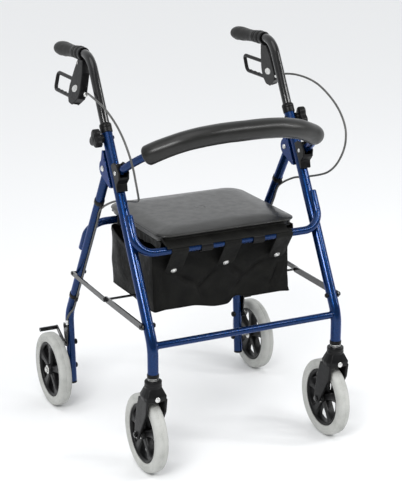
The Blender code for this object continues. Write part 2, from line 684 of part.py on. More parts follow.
def bag(front_tube_y, rear_tube_y):
    """An open box of cloth with webbing tabs round the two seat tubes."""
    shell = add_piece("bag", block((-BAG_HALF, BAG_FRONT, BAG_LOW), (BAG_HALF, BAG_REAR, BAG_TOP)),
                      NYLON, front_frame, smooth=False)
    inner_low = (-BAG_HALF + BAG_WALL, BAG_FRONT + BAG_WALL, BAG_LOW + BAG_WALL)
    inner_high = (BAG_HALF - BAG_WALL, BAG_REAR - BAG_WALL, BAG_TOP + 0.05)
    boolean(shell, block(inner_low, inner_high), "DIFFERENCE")
    front_wall, rear_wall = BAG_FRONT + BAG_WALL / 2, BAG_REAR - BAG_WALL / 2
    for x in (-TAB_X, 0, TAB_X):
        boolean(shell, strap(x, front_tube_y, (front_wall, BAG_TOP - 0.003), (front_wall, SNAP_Z)), "UNION")
        boolean(shell, strap(x, rear_tube_y, (rear_wall - 0.0022, BAG_TOP - 0.015),
                             (rear_wall + 0.0022, BAG_TOP - 0.015)), "UNION")


# ---------------------------------------------------------------- folding braces

def link_outline(start, end, half):
    """A flat bar with round ends, from one pivot to the other, in the (y, z) plane."""
    heading = math.degrees(math.atan2(end[1] - start[1], end[0] - start[0]))
    return [*arc(start, half, heading + 90, heading + 270, 5), *arc(end, half, heading - 90, heading + 90, 5)]


def braces():
    start = front_axis(LEG_X, BRACE_FRONT_Z)
    first, middle = (start.y, start.z), (BRACE_MID_Y, BRACE_MID_Z)
    last_point = rear_axis(LEG_X, BRACE_REAR_Z)
    last = (last_point.y, last_point.z)
    body = empty("brace_front", (0, *first), front_frame)
    rod_end = FRONT_LINK_X - GAP
    add_piece("brace_cross_rod", cylinder((-rod_end, *middle), (rod_end, *middle), ROD_R, 10),
              BLACK_METAL, body)
    for side, s in SIDES.items():
        low, high = sorted((s * FRONT_LINK_X, s * (FRONT_LINK_X + LINK_THICK)))
        link = add_piece(f"brace_front_link_{side}", extruded(link_outline(first, middle, FRONT_LINK_HALF),
                                                              low, high), BLACK_METAL, body)
        outer = s * (FRONT_LINK_X + LINK_THICK)
        boolean(link, cylinder((s * (LEG_X - FRONT_R - 0.005), *first), (outer + s * 0.003, *first),
                               KNOB_BOLT_R, 10), "UNION")
        reach = Vector((0.01, 0, 0))
        hole = Vector((outer, *middle))
        boolean(link, cylinder(hole - reach, hole + reach, 0.0042, 10), "DIFFERENCE")
        rear = empty(f"brace_rear_{side}", (s * REAR_LINK_X, *middle), body)
        low, high = sorted((s * REAR_LINK_X, s * (REAR_LINK_X + LINK_THICK)))
        link = add_piece(f"brace_rear_link_{side}", extruded(link_outline(middle, last, REAR_LINK_HALF),
                                                             low, high), BLACK_METAL, rear)
        inner = s * (REAR_LINK_X + 0.001)
        boolean(link, cylinder((s * (FRONT_LINK_X + GAP), *middle), (inner, *middle), 0.0035, 10), "UNION")
        boss = s * (LEG_X + REAR_R + 0.0006)
        boolean(link, cylinder((boss, *last), (inner, *last), 0.005, 10), "UNION")


# ---------------------------------------------------------------- wheels and casters

def tyre(name, centre, body):
    """A round-shouldered solid tyre. Its flats, not its edges, are at the wheel's radius."""
    half, crown, wall = TYRE_HALF, WHEEL_R / math.cos(math.pi / TYRE_SIDES), TYRE_INNER
    profile = [(wall, -half * 0.80), (crown - 0.0085, -half), (crown - 0.0025, -half * 0.74),
               (crown, -half * 0.32), (crown, half * 0.32), (crown - 0.0025, half * 0.74),
               (crown - 0.0085, half), (wall, half * 0.80)]
    add_piece(name, turned(profile, centre, X_AXIS, TYRE_SIDES), TYRE_RUBBER, body)


def hub(name, centre, body):
    """A rim and a bored boss joined by straight spokes."""
    centre = Vector(centre)
    rim = [(HUB_OUTER, -0.0105), (HUB_OUTER, 0.0105), (RIM_INNER, 0.0085), (RIM_INNER, -0.0085)]
    piece = add_piece(name, turned(rim, centre, X_AXIS, TYRE_SIDES), PLASTIC, body)
    for k in range(SPOKES):
        turn = Matrix.Rotation(2 * math.pi * k / SPOKES, 4, X_AXIS)
        spoke = block((-0.0045, -0.0050, 0.0090), (0.0045, 0.0050, RIM_INNER + 0.0030))
        spoke.transform(Matrix.Translation(centre) @ turn)
        boolean(piece, spoke, "UNION")
    boolean(piece, cylinder(centre - X_AXIS * HUB_HALF, centre + X_AXIS * HUB_HALF, BOSS_R), "UNION")
    reach = X_AXIS * 0.03
    boolean(piece, cylinder(centre - reach, centre + reach, AXLE_R + RUNNING), "DIFFERENCE")


def axle(name, centre, s, inner, outer, body):
    """A bolt along X. inner and outer are the distances outward to the faces that its ends bear on."""
    head, nut = 0.0070, 0.0065
    profile = [(0, inner - 0.004), (head, inner - 0.004), (head, inner), (AXLE_R, inner), (AXLE_R, outer),
               (nut, outer), (nut, outer + 0.006), (0, outer + 0.006)]
    add_piece(name, turned(profile, centre, (s, 0, 0), 12), STEEL, body)


def fork(side, s, body):
    """A trailing fork: a round neck, a crown over the tyre and two arms down to the axle."""
    x, neck_low = s * LEG_X, CROWN_LOW_Z + 0.030
    profile = [(0, FORK_TOP_Z), (NECK_R - 0.0015, FORK_TOP_Z), (NECK_R, FORK_TOP_Z - 0.002),
               (NECK_R, neck_low), (0, neck_low)]
    axle_y = STEM_Y + CASTER_TRAIL
    at = (x, STEM_Y, 0)
    piece = add_piece(f"caster_fork_{side}", turned(profile, at, (0, 0, 1), 14), PLASTIC, body)
    boolean(piece, crown(x), "UNION")
    for hand in (-1, 1):
        low, high = sorted((hand * ARM_IN, hand * ARM_OUT))
        arm = [(STEM_Y - 0.022, CROWN_LOW_Z + 0.004), (STEM_Y - 0.016, CROWN_LOW_Z - 0.030),
               *arc((axle_y, WHEEL_R), 0.012, 205, 385, 6), (STEM_Y + 0.040, CROWN_LOW_Z - 0.035),
               (STEM_Y + 0.026, CROWN_LOW_Z + 0.004)]
        boolean(piece, extruded(arm, x + low, x + high), "UNION")
    reach = X_AXIS * 0.04
    centre = Vector((x, axle_y, WHEEL_R))
    boolean(piece, cylinder(centre - reach, centre + reach, AXLE_R + GAP), "DIFFERENCE")


def crown(x):
    """The fork's shoulders: an oblong at the arms that narrows up to the neck."""
    bm = bmesh.new()
    levels = [(CROWN_LOW_Z, ARM_OUT, 0.024), (CROWN_LOW_Z + 0.012, ARM_OUT + 0.002, 0.025),
              (CROWN_LOW_Z + 0.032, 0.018, 0.018)]
    rings = []
    for z, half_x, half_y in levels:
        ring = []
        for k in range(12):
            turn = 2 * math.pi * (k + 0.5) / 12
            c, si = math.cos(turn), math.sin(turn)
            stretch = 1 / max(abs(c), abs(si)) ** 0.6
            ring.append(bm.verts.new((x + half_x * c * stretch, STEM_Y + half_y * si * stretch, z)))
        rings.append(ring)
    for a, b in zip(rings, rings[1:]):
        bridge(bm, a, b)
    bm.faces.new(rings[0])
    bm.faces.new(rings[-1])
    return bm


def caster_stem(side, s, body):
    """The washer on the fork and the plug that turns in the leg's foot."""
    plug = FRONT_BORE - GAP
    profile = [(0, FORK_TOP_Z + GAP), (0.0125, FORK_TOP_Z + GAP), (0.0125, FRONT_FOOT_Z - 0.0015),
               (0.0080, FRONT_FOOT_Z - 0.0010), (0.0080, FRONT_FOOT_Z + 0.001), (plug, FRONT_FOOT_Z + 0.001),
               (plug, FRONT_FOOT_Z + 0.030), (0, FRONT_FOOT_Z + 0.030)]
    add_piece(f"caster_stem_{side}", turned(profile, (s * LEG_X, STEM_Y, 0), (0, 0, 1), 14), STEEL, body)


def casters():
    for side, s in SIDES.items():
        swivel = empty(f"caster_{side}", (s * LEG_X, STEM_Y, FORK_TOP_Z), front_frame)
        fork(side, s, swivel)
        caster_stem(side, s, swivel)
        centre = Vector((s * LEG_X, STEM_Y + CASTER_TRAIL, WHEEL_R))
        axle(f"front_axle_{side}", centre, s, -ARM_OUT - GAP, ARM_OUT + GAP, swivel)
        wheel = empty(f"front_wheel_{side}", centre, swivel)
        tyre(f"front_tyre_{side}", centre, wheel)
        hub(f"front_hub_{side}", centre, wheel)


def rear_wheels():
    for side, s in SIDES.items():
        centre = Vector((s * REAR_WHEEL_X, REAR_AXLE_Y, WHEEL_R))
        wheel = empty(f"rear_wheel_{side}", centre, rear_frame)
        tyre(f"rear_tyre_{side}", centre, wheel)
        hub(f"rear_hub_{side}", centre, wheel)
        leg_face = LEG_X - REAR_R - GAP - REAR_WHEEL_X
        axle(f"rear_axle_{side}", centre, s, leg_face, HUB_HALF + GAP, rear_frame)


# ---------------------------------------------------------------- brake cables

# From the lever housing, forward in a free bow, back past the front leg and down the rear leg.
UPPER_ROUTE = {
    "left": [(0.2570, 0.0580, 0.8420), (0.2640, 0.0300, 0.8510), (0.2730, -0.0100, 0.8550),
             (0.2790, -0.0600, 0.8530), (0.2800, -0.1100, 0.8450), (0.2800, -0.1650, 0.8250),
             (0.2800, -0.2050, 0.8000), (0.2790, -0.2320, 0.7680), (0.2750, -0.2410, 0.7350),
             (0.2700, -0.2350, 0.7050), (0.2660, -0.2150, 0.6750), (0.2640, -0.1850, 0.6520),
             (0.2630, -0.1500, 0.6370), (0.2625, -0.1100, 0.6240), (0.2620, -0.0700, 0.6120),
             (0.2560, -0.0280, 0.6000)],
    "right": [(-0.2570, 0.0580, 0.8420), (-0.2640, 0.0300, 0.8510), (-0.2730, -0.0100, 0.8550),
              (-0.2790, -0.0600, 0.8530), (-0.2800, -0.1100, 0.8450), (-0.2800, -0.1650, 0.8250),
              (-0.2790, -0.2050, 0.8000), (-0.2760, -0.2320, 0.7680), (-0.2700, -0.2410, 0.7350),
              (-0.2620, -0.2350, 0.7050), (-0.2500, -0.2180, 0.6750), (-0.2350, -0.1900, 0.6480),
              (-0.2240, -0.1550, 0.6320), (-0.2210, -0.1150, 0.6220), (-0.2220, -0.0750, 0.6120),
              (-0.2300, -0.0300, 0.6000)],
}
LEG_ROUTE_Z = (0.580, 0.540, 0.480, 0.420, 0.360, 0.310, 0.270)


def brake_cable(side, s):
    off = -REAR_NORMAL * (REAR_R + CABLE_R + 0.0020)
    down = [rear_axis(s * LEG_X, z) + off for z in LEG_ROUTE_Z]
    end = [(s * 0.2490, 0.2170, 0.2440), (s * 0.2549, 0.2225, 0.2280), (s * 0.2549, 0.2240, 0.2150)]
    route = smooth_route([*UPPER_ROUTE[side], *down, *end], 0.0150)
    curve = bpy.data.curves.new(f"brake_cable_{side}", "CURVE")
    curve.dimensions = "3D"
    curve.bevel_depth = CABLE_R
    curve.bevel_resolution = 2
    curve.use_fill_caps = True
    spline = curve.splines.new("POLY")
    spline.points.add(len(route) - 1)
    for point, place in zip(spline.points, route):
        point.co = (*(place - world_place(front_frame)), 1)
    curve.materials.append(SLEEVE)
    cable = bpy.data.objects.new(f"brake_cable_{side}", curve)
    bpy.context.scene.collection.objects.link(cable)
    cable.parent = front_frame


# ---------------------------------------------------------------- the whole walker

front_cross_tube()
front_tube_y = front_seat_tube()
rear_tube_y = rear_seat_tube()
for side_name, sign in SIDES.items():
    front_leg(side_name, sign)
    hinge_bracket(side_name, sign)
    hinge_pin(side_name, sign)
    height_collar(side_name, sign)
    backrest_bracket(side_name, sign)
    rear_leg(side_name, sign)
    brake_bracket(side_name, sign)
    brake_arm(side_name, sign)
    brake_cable(side_name, sign)
handles()
backrest()
seat(front_tube_y)
bag(front_tube_y, rear_tube_y)
braces()
casters()
rear_wheels()
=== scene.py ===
"""The finished look of the folding rollator walker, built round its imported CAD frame.

Metres, +Z up, in the CAD model's frame: the front casters are at -Y and the user's left side is +X.
"""

import sys

import json
import math

import bmesh
import bpy
from mathutils import Matrix, Vector, noise
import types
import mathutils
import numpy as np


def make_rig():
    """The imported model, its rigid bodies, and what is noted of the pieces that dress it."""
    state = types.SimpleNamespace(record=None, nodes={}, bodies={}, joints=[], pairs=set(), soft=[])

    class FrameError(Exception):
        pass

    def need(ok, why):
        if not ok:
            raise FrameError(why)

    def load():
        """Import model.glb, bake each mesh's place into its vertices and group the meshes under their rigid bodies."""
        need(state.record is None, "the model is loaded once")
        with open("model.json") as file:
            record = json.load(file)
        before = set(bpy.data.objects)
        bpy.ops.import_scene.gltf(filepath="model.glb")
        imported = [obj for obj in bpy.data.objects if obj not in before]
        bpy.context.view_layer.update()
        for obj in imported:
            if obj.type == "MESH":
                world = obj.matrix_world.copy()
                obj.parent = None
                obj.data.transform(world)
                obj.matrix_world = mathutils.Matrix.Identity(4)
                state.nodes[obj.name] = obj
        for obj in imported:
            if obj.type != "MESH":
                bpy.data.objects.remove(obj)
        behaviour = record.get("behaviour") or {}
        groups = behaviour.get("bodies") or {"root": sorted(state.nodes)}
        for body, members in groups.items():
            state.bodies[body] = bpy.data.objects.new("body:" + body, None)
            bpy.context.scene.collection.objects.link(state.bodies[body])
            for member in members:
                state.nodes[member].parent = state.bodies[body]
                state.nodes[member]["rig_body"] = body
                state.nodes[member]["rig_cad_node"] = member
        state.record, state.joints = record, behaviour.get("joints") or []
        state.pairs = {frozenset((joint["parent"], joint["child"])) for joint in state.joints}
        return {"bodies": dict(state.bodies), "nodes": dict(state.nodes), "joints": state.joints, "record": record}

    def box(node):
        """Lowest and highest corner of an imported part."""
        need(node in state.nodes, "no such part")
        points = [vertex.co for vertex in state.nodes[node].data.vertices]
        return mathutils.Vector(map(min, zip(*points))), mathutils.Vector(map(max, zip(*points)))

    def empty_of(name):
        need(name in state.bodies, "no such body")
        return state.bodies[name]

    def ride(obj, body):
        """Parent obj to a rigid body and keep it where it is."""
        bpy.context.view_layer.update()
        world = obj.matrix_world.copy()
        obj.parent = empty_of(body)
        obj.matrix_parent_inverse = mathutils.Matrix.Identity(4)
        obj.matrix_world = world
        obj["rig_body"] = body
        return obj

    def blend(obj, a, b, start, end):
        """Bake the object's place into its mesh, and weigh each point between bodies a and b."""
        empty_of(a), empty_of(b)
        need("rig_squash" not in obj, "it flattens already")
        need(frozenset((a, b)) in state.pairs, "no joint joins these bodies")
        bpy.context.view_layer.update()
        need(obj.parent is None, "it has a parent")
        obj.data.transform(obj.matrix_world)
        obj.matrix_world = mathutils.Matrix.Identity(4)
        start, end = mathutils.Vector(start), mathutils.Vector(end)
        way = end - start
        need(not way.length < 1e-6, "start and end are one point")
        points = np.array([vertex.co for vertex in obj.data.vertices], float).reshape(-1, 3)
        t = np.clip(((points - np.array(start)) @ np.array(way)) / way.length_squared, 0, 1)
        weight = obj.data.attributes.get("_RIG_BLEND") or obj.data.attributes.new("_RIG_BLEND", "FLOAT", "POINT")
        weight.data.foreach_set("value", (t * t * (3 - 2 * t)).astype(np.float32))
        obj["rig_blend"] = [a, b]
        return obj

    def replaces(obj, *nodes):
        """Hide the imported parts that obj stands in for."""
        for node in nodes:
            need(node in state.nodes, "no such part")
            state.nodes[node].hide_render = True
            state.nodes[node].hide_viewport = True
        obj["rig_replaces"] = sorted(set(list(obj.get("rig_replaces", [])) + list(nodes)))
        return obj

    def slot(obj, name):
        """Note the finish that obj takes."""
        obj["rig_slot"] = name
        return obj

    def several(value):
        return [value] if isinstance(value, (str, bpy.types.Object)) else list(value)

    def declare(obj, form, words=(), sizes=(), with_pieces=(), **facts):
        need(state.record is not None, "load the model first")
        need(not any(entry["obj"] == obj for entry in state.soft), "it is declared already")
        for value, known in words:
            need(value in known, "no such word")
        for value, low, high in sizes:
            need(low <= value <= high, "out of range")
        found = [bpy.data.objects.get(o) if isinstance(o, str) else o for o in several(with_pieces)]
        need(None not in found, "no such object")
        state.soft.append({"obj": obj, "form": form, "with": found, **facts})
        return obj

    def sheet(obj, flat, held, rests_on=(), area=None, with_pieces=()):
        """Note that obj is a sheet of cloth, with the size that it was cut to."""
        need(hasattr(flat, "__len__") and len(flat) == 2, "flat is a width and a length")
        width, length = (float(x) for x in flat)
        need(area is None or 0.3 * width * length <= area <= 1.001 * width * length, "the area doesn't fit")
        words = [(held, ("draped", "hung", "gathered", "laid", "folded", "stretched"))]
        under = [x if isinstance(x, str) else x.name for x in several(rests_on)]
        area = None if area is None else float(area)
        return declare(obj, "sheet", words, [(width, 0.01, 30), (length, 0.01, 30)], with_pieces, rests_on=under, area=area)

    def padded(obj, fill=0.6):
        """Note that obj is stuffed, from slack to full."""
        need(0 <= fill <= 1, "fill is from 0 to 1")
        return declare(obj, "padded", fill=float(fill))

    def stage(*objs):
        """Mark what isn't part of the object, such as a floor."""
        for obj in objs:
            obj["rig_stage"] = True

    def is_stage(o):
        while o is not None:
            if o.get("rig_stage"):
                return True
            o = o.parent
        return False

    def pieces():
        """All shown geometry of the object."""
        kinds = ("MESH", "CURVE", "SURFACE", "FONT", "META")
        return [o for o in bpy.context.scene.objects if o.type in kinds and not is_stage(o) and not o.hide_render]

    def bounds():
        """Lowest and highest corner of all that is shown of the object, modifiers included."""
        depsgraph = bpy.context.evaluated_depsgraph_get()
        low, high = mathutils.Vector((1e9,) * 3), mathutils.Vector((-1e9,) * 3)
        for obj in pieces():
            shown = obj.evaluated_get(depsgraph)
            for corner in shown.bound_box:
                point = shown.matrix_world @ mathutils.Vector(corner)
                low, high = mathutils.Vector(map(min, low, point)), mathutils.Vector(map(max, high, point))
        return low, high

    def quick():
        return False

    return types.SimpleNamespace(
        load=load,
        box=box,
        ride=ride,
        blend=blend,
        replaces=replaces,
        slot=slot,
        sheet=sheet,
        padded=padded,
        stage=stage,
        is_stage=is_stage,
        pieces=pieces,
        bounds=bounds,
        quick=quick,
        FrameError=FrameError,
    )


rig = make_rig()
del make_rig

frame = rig.load()
noise.seed_set(1)  # noise_vector gives another result each run without a seed
CAD_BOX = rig.bounds()
BODY_OF = {node: body for body, nodes in frame["record"]["behaviour"]["bodies"].items() for node in nodes}
PIVOT = {joint["name"]: Vector(joint["pos_m"]) for joint in frame["joints"] if "pos_m" in joint}

SIDES = {"left": 1, "right": -1}
X_AXIS, Y_AXIS, Z_AXIS = Vector((1, 0, 0)), Vector((0, 1, 0)), Vector((0, 0, 1))


def centre(node):
    low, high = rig.box(node)
    return (low + high) / 2


def half_size(node):
    low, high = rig.box(node)
    return (high - low) / 2


# Front legs and the handle tubes in them
LEG_X = centre("front_leg_left").x
FRONT_R, LEG_BEND = 0.0127, 0.10
STEM_Y, FRONT_BEND_Z, FRONT_TOP_Z, FRONT_SLOPE = PIVOT["caster_left_swivel"].y, 0.322, 0.778, 0.547
FRONT_FOOT_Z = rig.box("front_leg_left")[0].z
HANDLE_R, HANDLE_FOOT_Z, HANDLE_BEND, CORNER_Z, GRIP_DROP = 0.0110, 0.600, 0.055, 0.934, math.radians(4)
GRIP_START, GRIP_END, CLAMP_START, CLAMP_END = 0.1125, 0.2560, 0.0985, 0.1118
LEVER_R, LOOP_FRONT, LOOP_REAR, LOOP_LOW, LOOP_HIGH = 0.0046, 0.1010, 0.2310, 0.8225, 0.8640
HOUSING_LEAN, KNOB_R = math.radians(12), 0.024

# Rear legs, from the hinge down
REAR_R, HINGE = 0.0111, PIVOT["fold"]
REAR_BEND_Y, REAR_BEND_Z, REAR_FOOT_Y, REAR_FOOT_Z = 0.2386, 0.2366, 0.2276, 0.055

# Cross tubes, seat, backrest, bag and braces
SEAT_TUBE_R, SEAT_TUBE_BEND, FRONT_SEAT_TOP_Z, REAR_SEAT_END_Z = 0.0095, 0.045, 0.600, 0.440
SEAT_AXIS = PIVOT["seat_lift"]
CROSS_R, CROSS = 0.0085, centre("front_cross_tube")
BACK_END, BACK_MID, BACK_POWER, FOAM_R = Vector((0.215, -0.199, 0.749)), (-0.250, 0.794), 3.0, 0.0235
BACK_PIVOT = PIVOT["backrest_tilt"]
TAB_X, TAB_WIDE, TAB_THICK, SNAP_Z, BAG_ROWS = 0.137, 0.044, 0.0016, 0.462, 32
CABLE_R = 0.0025

WHEEL_R, RIM_R = half_size("front_tyre_left").z, 0.0712


# ---- camera, floor and light

def linked(name, data):
    """A new object of the scene that shows the data."""
    obj = bpy.data.objects.new(name, data)
    bpy.context.scene.collection.objects.link(obj)
    return obj


def mesh_of(bm, name):
    """The bmesh as a mesh. The bmesh itself is used up."""
    mesh = bpy.data.meshes.new(name)
    bm.to_mesh(mesh)
    bm.free()
    return mesh


def camera():
    data = bpy.data.cameras.new("camera")
    data.lens, data.sensor_width = 112.6, 36
    eye = linked("camera", data)
    eye.location = (-1.617, -3.289, 1.606)
    turn, dip = math.radians(26.41), math.radians(17.64)
    forward = Vector((math.sin(turn) * math.cos(dip), math.cos(turn) * math.cos(dip), -math.sin(dip)))
    eye.rotation_mode = "QUATERNION"
    eye.rotation_quaternion = forward.to_track_quat("-Z", "Y")
    bpy.context.scene.camera = eye


def softbox(name, place, target, size, power):
    data = bpy.data.lights.new(name, "AREA")
    data.shape, data.size, data.size_y, data.energy = "RECTANGLE", *size, power
    lamp = linked(name, data)
    lamp.location = place
    lamp.rotation_mode = "QUATERNION"
    lamp.rotation_quaternion = (Vector(target) - Vector(place)).to_track_quat("-Z", "Y")


def studio():
    """A pale floor in a pale room. A large key light stands at the front left, a strip at the right, and a
    wide box at the front right, which lines the rails that run from side to side."""
    world = bpy.data.worlds.new("studio")
    bpy.context.scene.world = world
    world.use_nodes = True
    tree = world.node_tree
    background = tree.nodes["Background"]
    toward = tree.nodes.new("ShaderNodeSeparateXYZ")
    tree.links.new(tree.nodes.new("ShaderNodeTexCoord").outputs["Generated"], toward.inputs["Vector"])
    walls = tree.nodes.new("ShaderNodeMapRange")
    for socket, value in (("From Min", -0.7), ("From Max", 0.5), ("To Min", 0.30), ("To Max", 0.95)):
        walls.inputs[socket].default_value = value
    tree.links.new(toward.outputs["Y"], walls.inputs["Value"])
    tree.links.new(walls.outputs["Result"], background.inputs["Strength"])
    background.inputs["Color"].default_value = (0.97, 0.985, 1.0, 1)
    bpy.context.scene.view_settings.view_transform = "Standard"
    sun = bpy.data.lights.new("sun", "SUN")
    sun.energy, sun.angle = 0.95, math.radians(50)
    linked("sun", sun).rotation_euler = (math.radians(18), math.radians(-14), 0)
    softbox("key", (-2.4, -2.6, 2.6), (0, 0, 0.5), (1.5, 0.6), 78)
    softbox("strip", (2.6, -1.6, 2.0), (0, 0, 0.6), (0.25, 1.6), 26)
    softbox("brow", (1.3, -2.2, 2.5), (0, -0.1, 0.6), (1.4, 0.35), 24)
    bm = bmesh.new()
    bmesh.ops.create_grid(bm, x_segments=8, y_segments=8, size=30)
    mesh = mesh_of(bm, "floor")
    values = {"Base Color": (0.86, 0.865, 0.87, 1), "Roughness": 0.85, "Specular IOR Level": 0.1}
    mesh.materials.append(Shader("floor", values).material)
    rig.stage(linked("floor", mesh))


# ---- materials

class Shader:
    """A procedural material: a Principled shader with short calls for the textures that feed it."""

    def __init__(self, name, values):
        self.material = bpy.data.materials.new(name)
        self.material.use_nodes = True
        self.tree = self.material.node_tree
        self.surface = self.tree.nodes["Principled BSDF"]
        self.height = None
        for socket, value in values.items():
            self.surface.inputs[socket].default_value = value

    def node(self, kind, values=(), **settings):
        made = self.tree.nodes.new(f"ShaderNode{kind}")
        for setting, value in settings.items():
            setattr(made, setting, value)
        for socket, value in dict(values).items():
            if isinstance(value, bpy.types.NodeSocket):
                self.tree.links.new(value, made.inputs[socket])
            else:
                made.inputs[socket].default_value = value
        return made

    def place(self, stretch=(1, 1, 1)):
        spot = self.node("TexCoord").outputs["Object"]
        return self.node("Mapping", {"Vector": spot, "Scale": stretch}).outputs["Vector"]

    def noise(self, size, detail=2.0, stretch=(1, 1, 1)):
        values = {"Vector": self.place(stretch), "Scale": 1 / size, "Detail": detail}
        return self.node("TexNoise", values).outputs["Fac"]

    def cells(self, size, output="Distance", feature="F1"):
        values = {"Vector": self.place(), "Scale": 1 / size}
        return self.node("TexVoronoi", values, feature=feature).outputs[output]

    def threads(self, pitch, direction):
        """Parallel threads that repeat every pitch metres."""
        values = {"Vector": self.place(), "Scale": 0.314 / pitch}
        return self.node("TexWave", values, bands_direction=direction).outputs["Fac"]

    def math(self, operation, a, b):
        return self.node("Math", {0: a, 1: b}, operation=operation).outputs[0]

    def spread(self, value, low, high, start=0.3, end=0.7):
        values = {"Value": value, "From Min": start, "From Max": end, "To Min": low, "To Max": high}
        return self.node("MapRange", values).outputs["Result"]

    def colour(self, value, *stops):
        """The base colour runs through the stops, each a position and a colour."""
        ramp = self.node("ValToRGB", {"Fac": value})
        while len(ramp.color_ramp.elements) < len(stops):
            ramp.color_ramp.elements.new(0.5)
        for element, (position, colour) in zip(ramp.color_ramp.elements, stops):
            element.position, element.color = position, (*colour, 1)
        self.tree.links.new(ramp.outputs["Color"], self.surface.inputs["Base Color"])

    def rough(self, value, low, high):
        self.tree.links.new(self.spread(value, low, high), self.surface.inputs["Roughness"])

    def bump(self, height, depth):
        values = {"Height": height, "Distance": depth, "Strength": 1.0}
        if self.height:
            values["Normal"] = self.height
        self.height = self.node("Bump", values).outputs["Normal"]
        self.tree.links.new(self.height, self.surface.inputs["Normal"])


def blue_paint():
    """Metallic blue under clear coat, with fine flakes and a slight ripple."""
    s = Shader("blue_paint", {"Metallic": 0.75, "Coat Weight": 0.42, "Coat Roughness": 0.06,
                              "Specular IOR Level": 0.12, "Specular Tint": (0.30, 0.50, 1.0, 1.0)})
    s.colour(s.cells(0.0007, "Color"), (0.0, (0.0006, 0.009, 0.042)), (0.55, (0.0018, 0.020, 0.088)),
             (1.0, (0.0070, 0.048, 0.170)))
    s.rough(s.noise(0.030, 3), 0.20, 0.32)
    s.bump(s.noise(0.0035, 2), 0.00006)
    return s.material


def black_paint():
    """Black powder coat with an orange-peel skin, worn a little paler in patches."""
    s = Shader("black_paint", {"Metallic": 0.0, "Coat Weight": 0.85, "Coat Roughness": 0.06,
                               "Specular IOR Level": 0.12})
    s.colour(s.noise(0.025, 5), (0.35, (0.0010, 0.0010, 0.0012)), (0.70, (0.0045, 0.0045, 0.0050)))
    s.rough(s.noise(0.012, 3), 0.26, 0.40)
    s.bump(s.noise(0.0014, 2), 0.00008)
    return s.material


def zinc_steel():
    """Bright zinc plate with faint turning marks and a cloudy tone."""
    s = Shader("zinc_steel", {"Metallic": 1.0})
    s.colour(s.noise(0.006, 4), (0.30, (0.52, 0.52, 0.50)), (0.70, (0.80, 0.80, 0.79)))
    s.rough(s.noise(0.0015, 3, (6, 1, 1)), 0.18, 0.38)
    s.bump(s.noise(0.0006, 2, (5, 1, 1)), 0.00003)
    return s.material


def black_plastic():
    """Moulded black plastic with a spark-eroded grain."""
    s = Shader("black_plastic", {"Specular IOR Level": 0.16})
    s.colour(s.noise(0.020, 4), (0.30, (0.0025, 0.0025, 0.0027)), (0.75, (0.0090, 0.0090, 0.0095)))
    s.rough(s.noise(0.008, 3), 0.28, 0.42)
    s.bump(s.cells(0.0009), 0.00005)
    return s.material


def grip_rubber():
    """Soft rubber: fine pebbled grain, duller where hands rest."""
    s = Shader("grip_rubber", {"Specular IOR Level": 0.22, "Sheen Weight": 0.02, "Sheen Roughness": 0.6})
    s.colour(s.noise(0.030, 4), (0.30, (0.005, 0.005, 0.005)), (0.75, (0.014, 0.014, 0.0135)))
    s.rough(s.noise(0.015, 3), 0.42, 0.62)
    s.bump(s.cells(0.0013), 0.00012)
    return s.material


def grey_tyre():
    """Pale grey solid tyre: a satin skin with faint scuffs and specks of dirt."""
    s = Shader("grey_tyre", {"Specular IOR Level": 0.35})
    scuffs, specks = s.math("MULTIPLY", s.noise(0.030, 5), 0.7), s.math("MULTIPLY", s.noise(0.0025, 3), 0.3)
    s.colour(s.math("ADD", scuffs, specks), (0.32, (0.330, 0.335, 0.315)), (0.50, (0.420, 0.425, 0.405)),
             (0.68, (0.470, 0.475, 0.455)))
    s.rough(s.noise(0.010, 3), 0.50, 0.70)
    s.bump(s.noise(0.0012, 3), 0.00010)
    return s.material


def seat_vinyl():
    """Leather-grain vinyl: small raised cells between creases, with soft stretch marks."""
    s = Shader("seat_vinyl", {"Specular IOR Level": 0.33, "Coat Weight": 0.20, "Coat Roughness": 0.16})
    s.colour(s.noise(0.040, 4), (0.30, (0.0060, 0.0060, 0.0052)), (0.75, (0.0130, 0.0130, 0.0115)))
    s.rough(s.noise(0.020, 3), 0.28, 0.38)
    s.bump(s.cells(0.0022, feature="DISTANCE_TO_EDGE"), 0.00010)
    s.bump(s.noise(0.014, 3), 0.00022)
    return s.material


def backrest_foam():
    """Skinned foam: a satin hide with fine pores."""
    s = Shader("backrest_foam", {"Specular IOR Level": 0.15, "Coat Weight": 0.50, "Coat Roughness": 0.30})
    s.colour(s.noise(0.025, 5), (0.30, (0.0035, 0.0035, 0.0030)), (0.75, (0.0090, 0.0090, 0.0080)))
    s.rough(s.noise(0.012, 3), 0.34, 0.46)
    s.bump(s.cells(0.0016), 0.00006)
    s.bump(s.noise(0.010, 2), 0.00020)
    return s.material


def bag_nylon():
    """Coated pack cloth: a plain weave in both directions, with a low sheen."""
    s = Shader("bag_nylon", {"Specular IOR Level": 0.13, "Sheen Weight": 0.01, "Sheen Roughness": 0.45})
    s.colour(s.noise(0.030, 4), (0.30, (0.0012, 0.0012, 0.0010)), (0.75, (0.0066, 0.0066, 0.0054)))
    s.rough(s.noise(0.015, 3), 0.44, 0.60)
    weave = s.math("ADD", s.threads(0.0010, "X"), s.threads(0.0010, "Y"))
    s.bump(s.math("ADD", weave, s.threads(0.0010, "Z")), 0.00008)
    s.bump(s.noise(0.008, 3), 0.00040)
    s.bump(s.noise(0.034, 3), 0.00300)
    return s.material


def cable_sleeve():
    """Grey-black extruded sleeve with a slight wind from the liner under it."""
    s = Shader("cable_sleeve", {"Specular IOR Level": 0.45})
    s.colour(s.noise(0.020, 3), (0.30, (0.050, 0.050, 0.048)), (0.75, (0.085, 0.085, 0.080)))
    s.rough(s.noise(0.006, 2), 0.34, 0.50)
    s.bump(s.threads(0.0016, "DIAGONAL"), 0.00006)
    return s.material


MATERIALS = {}


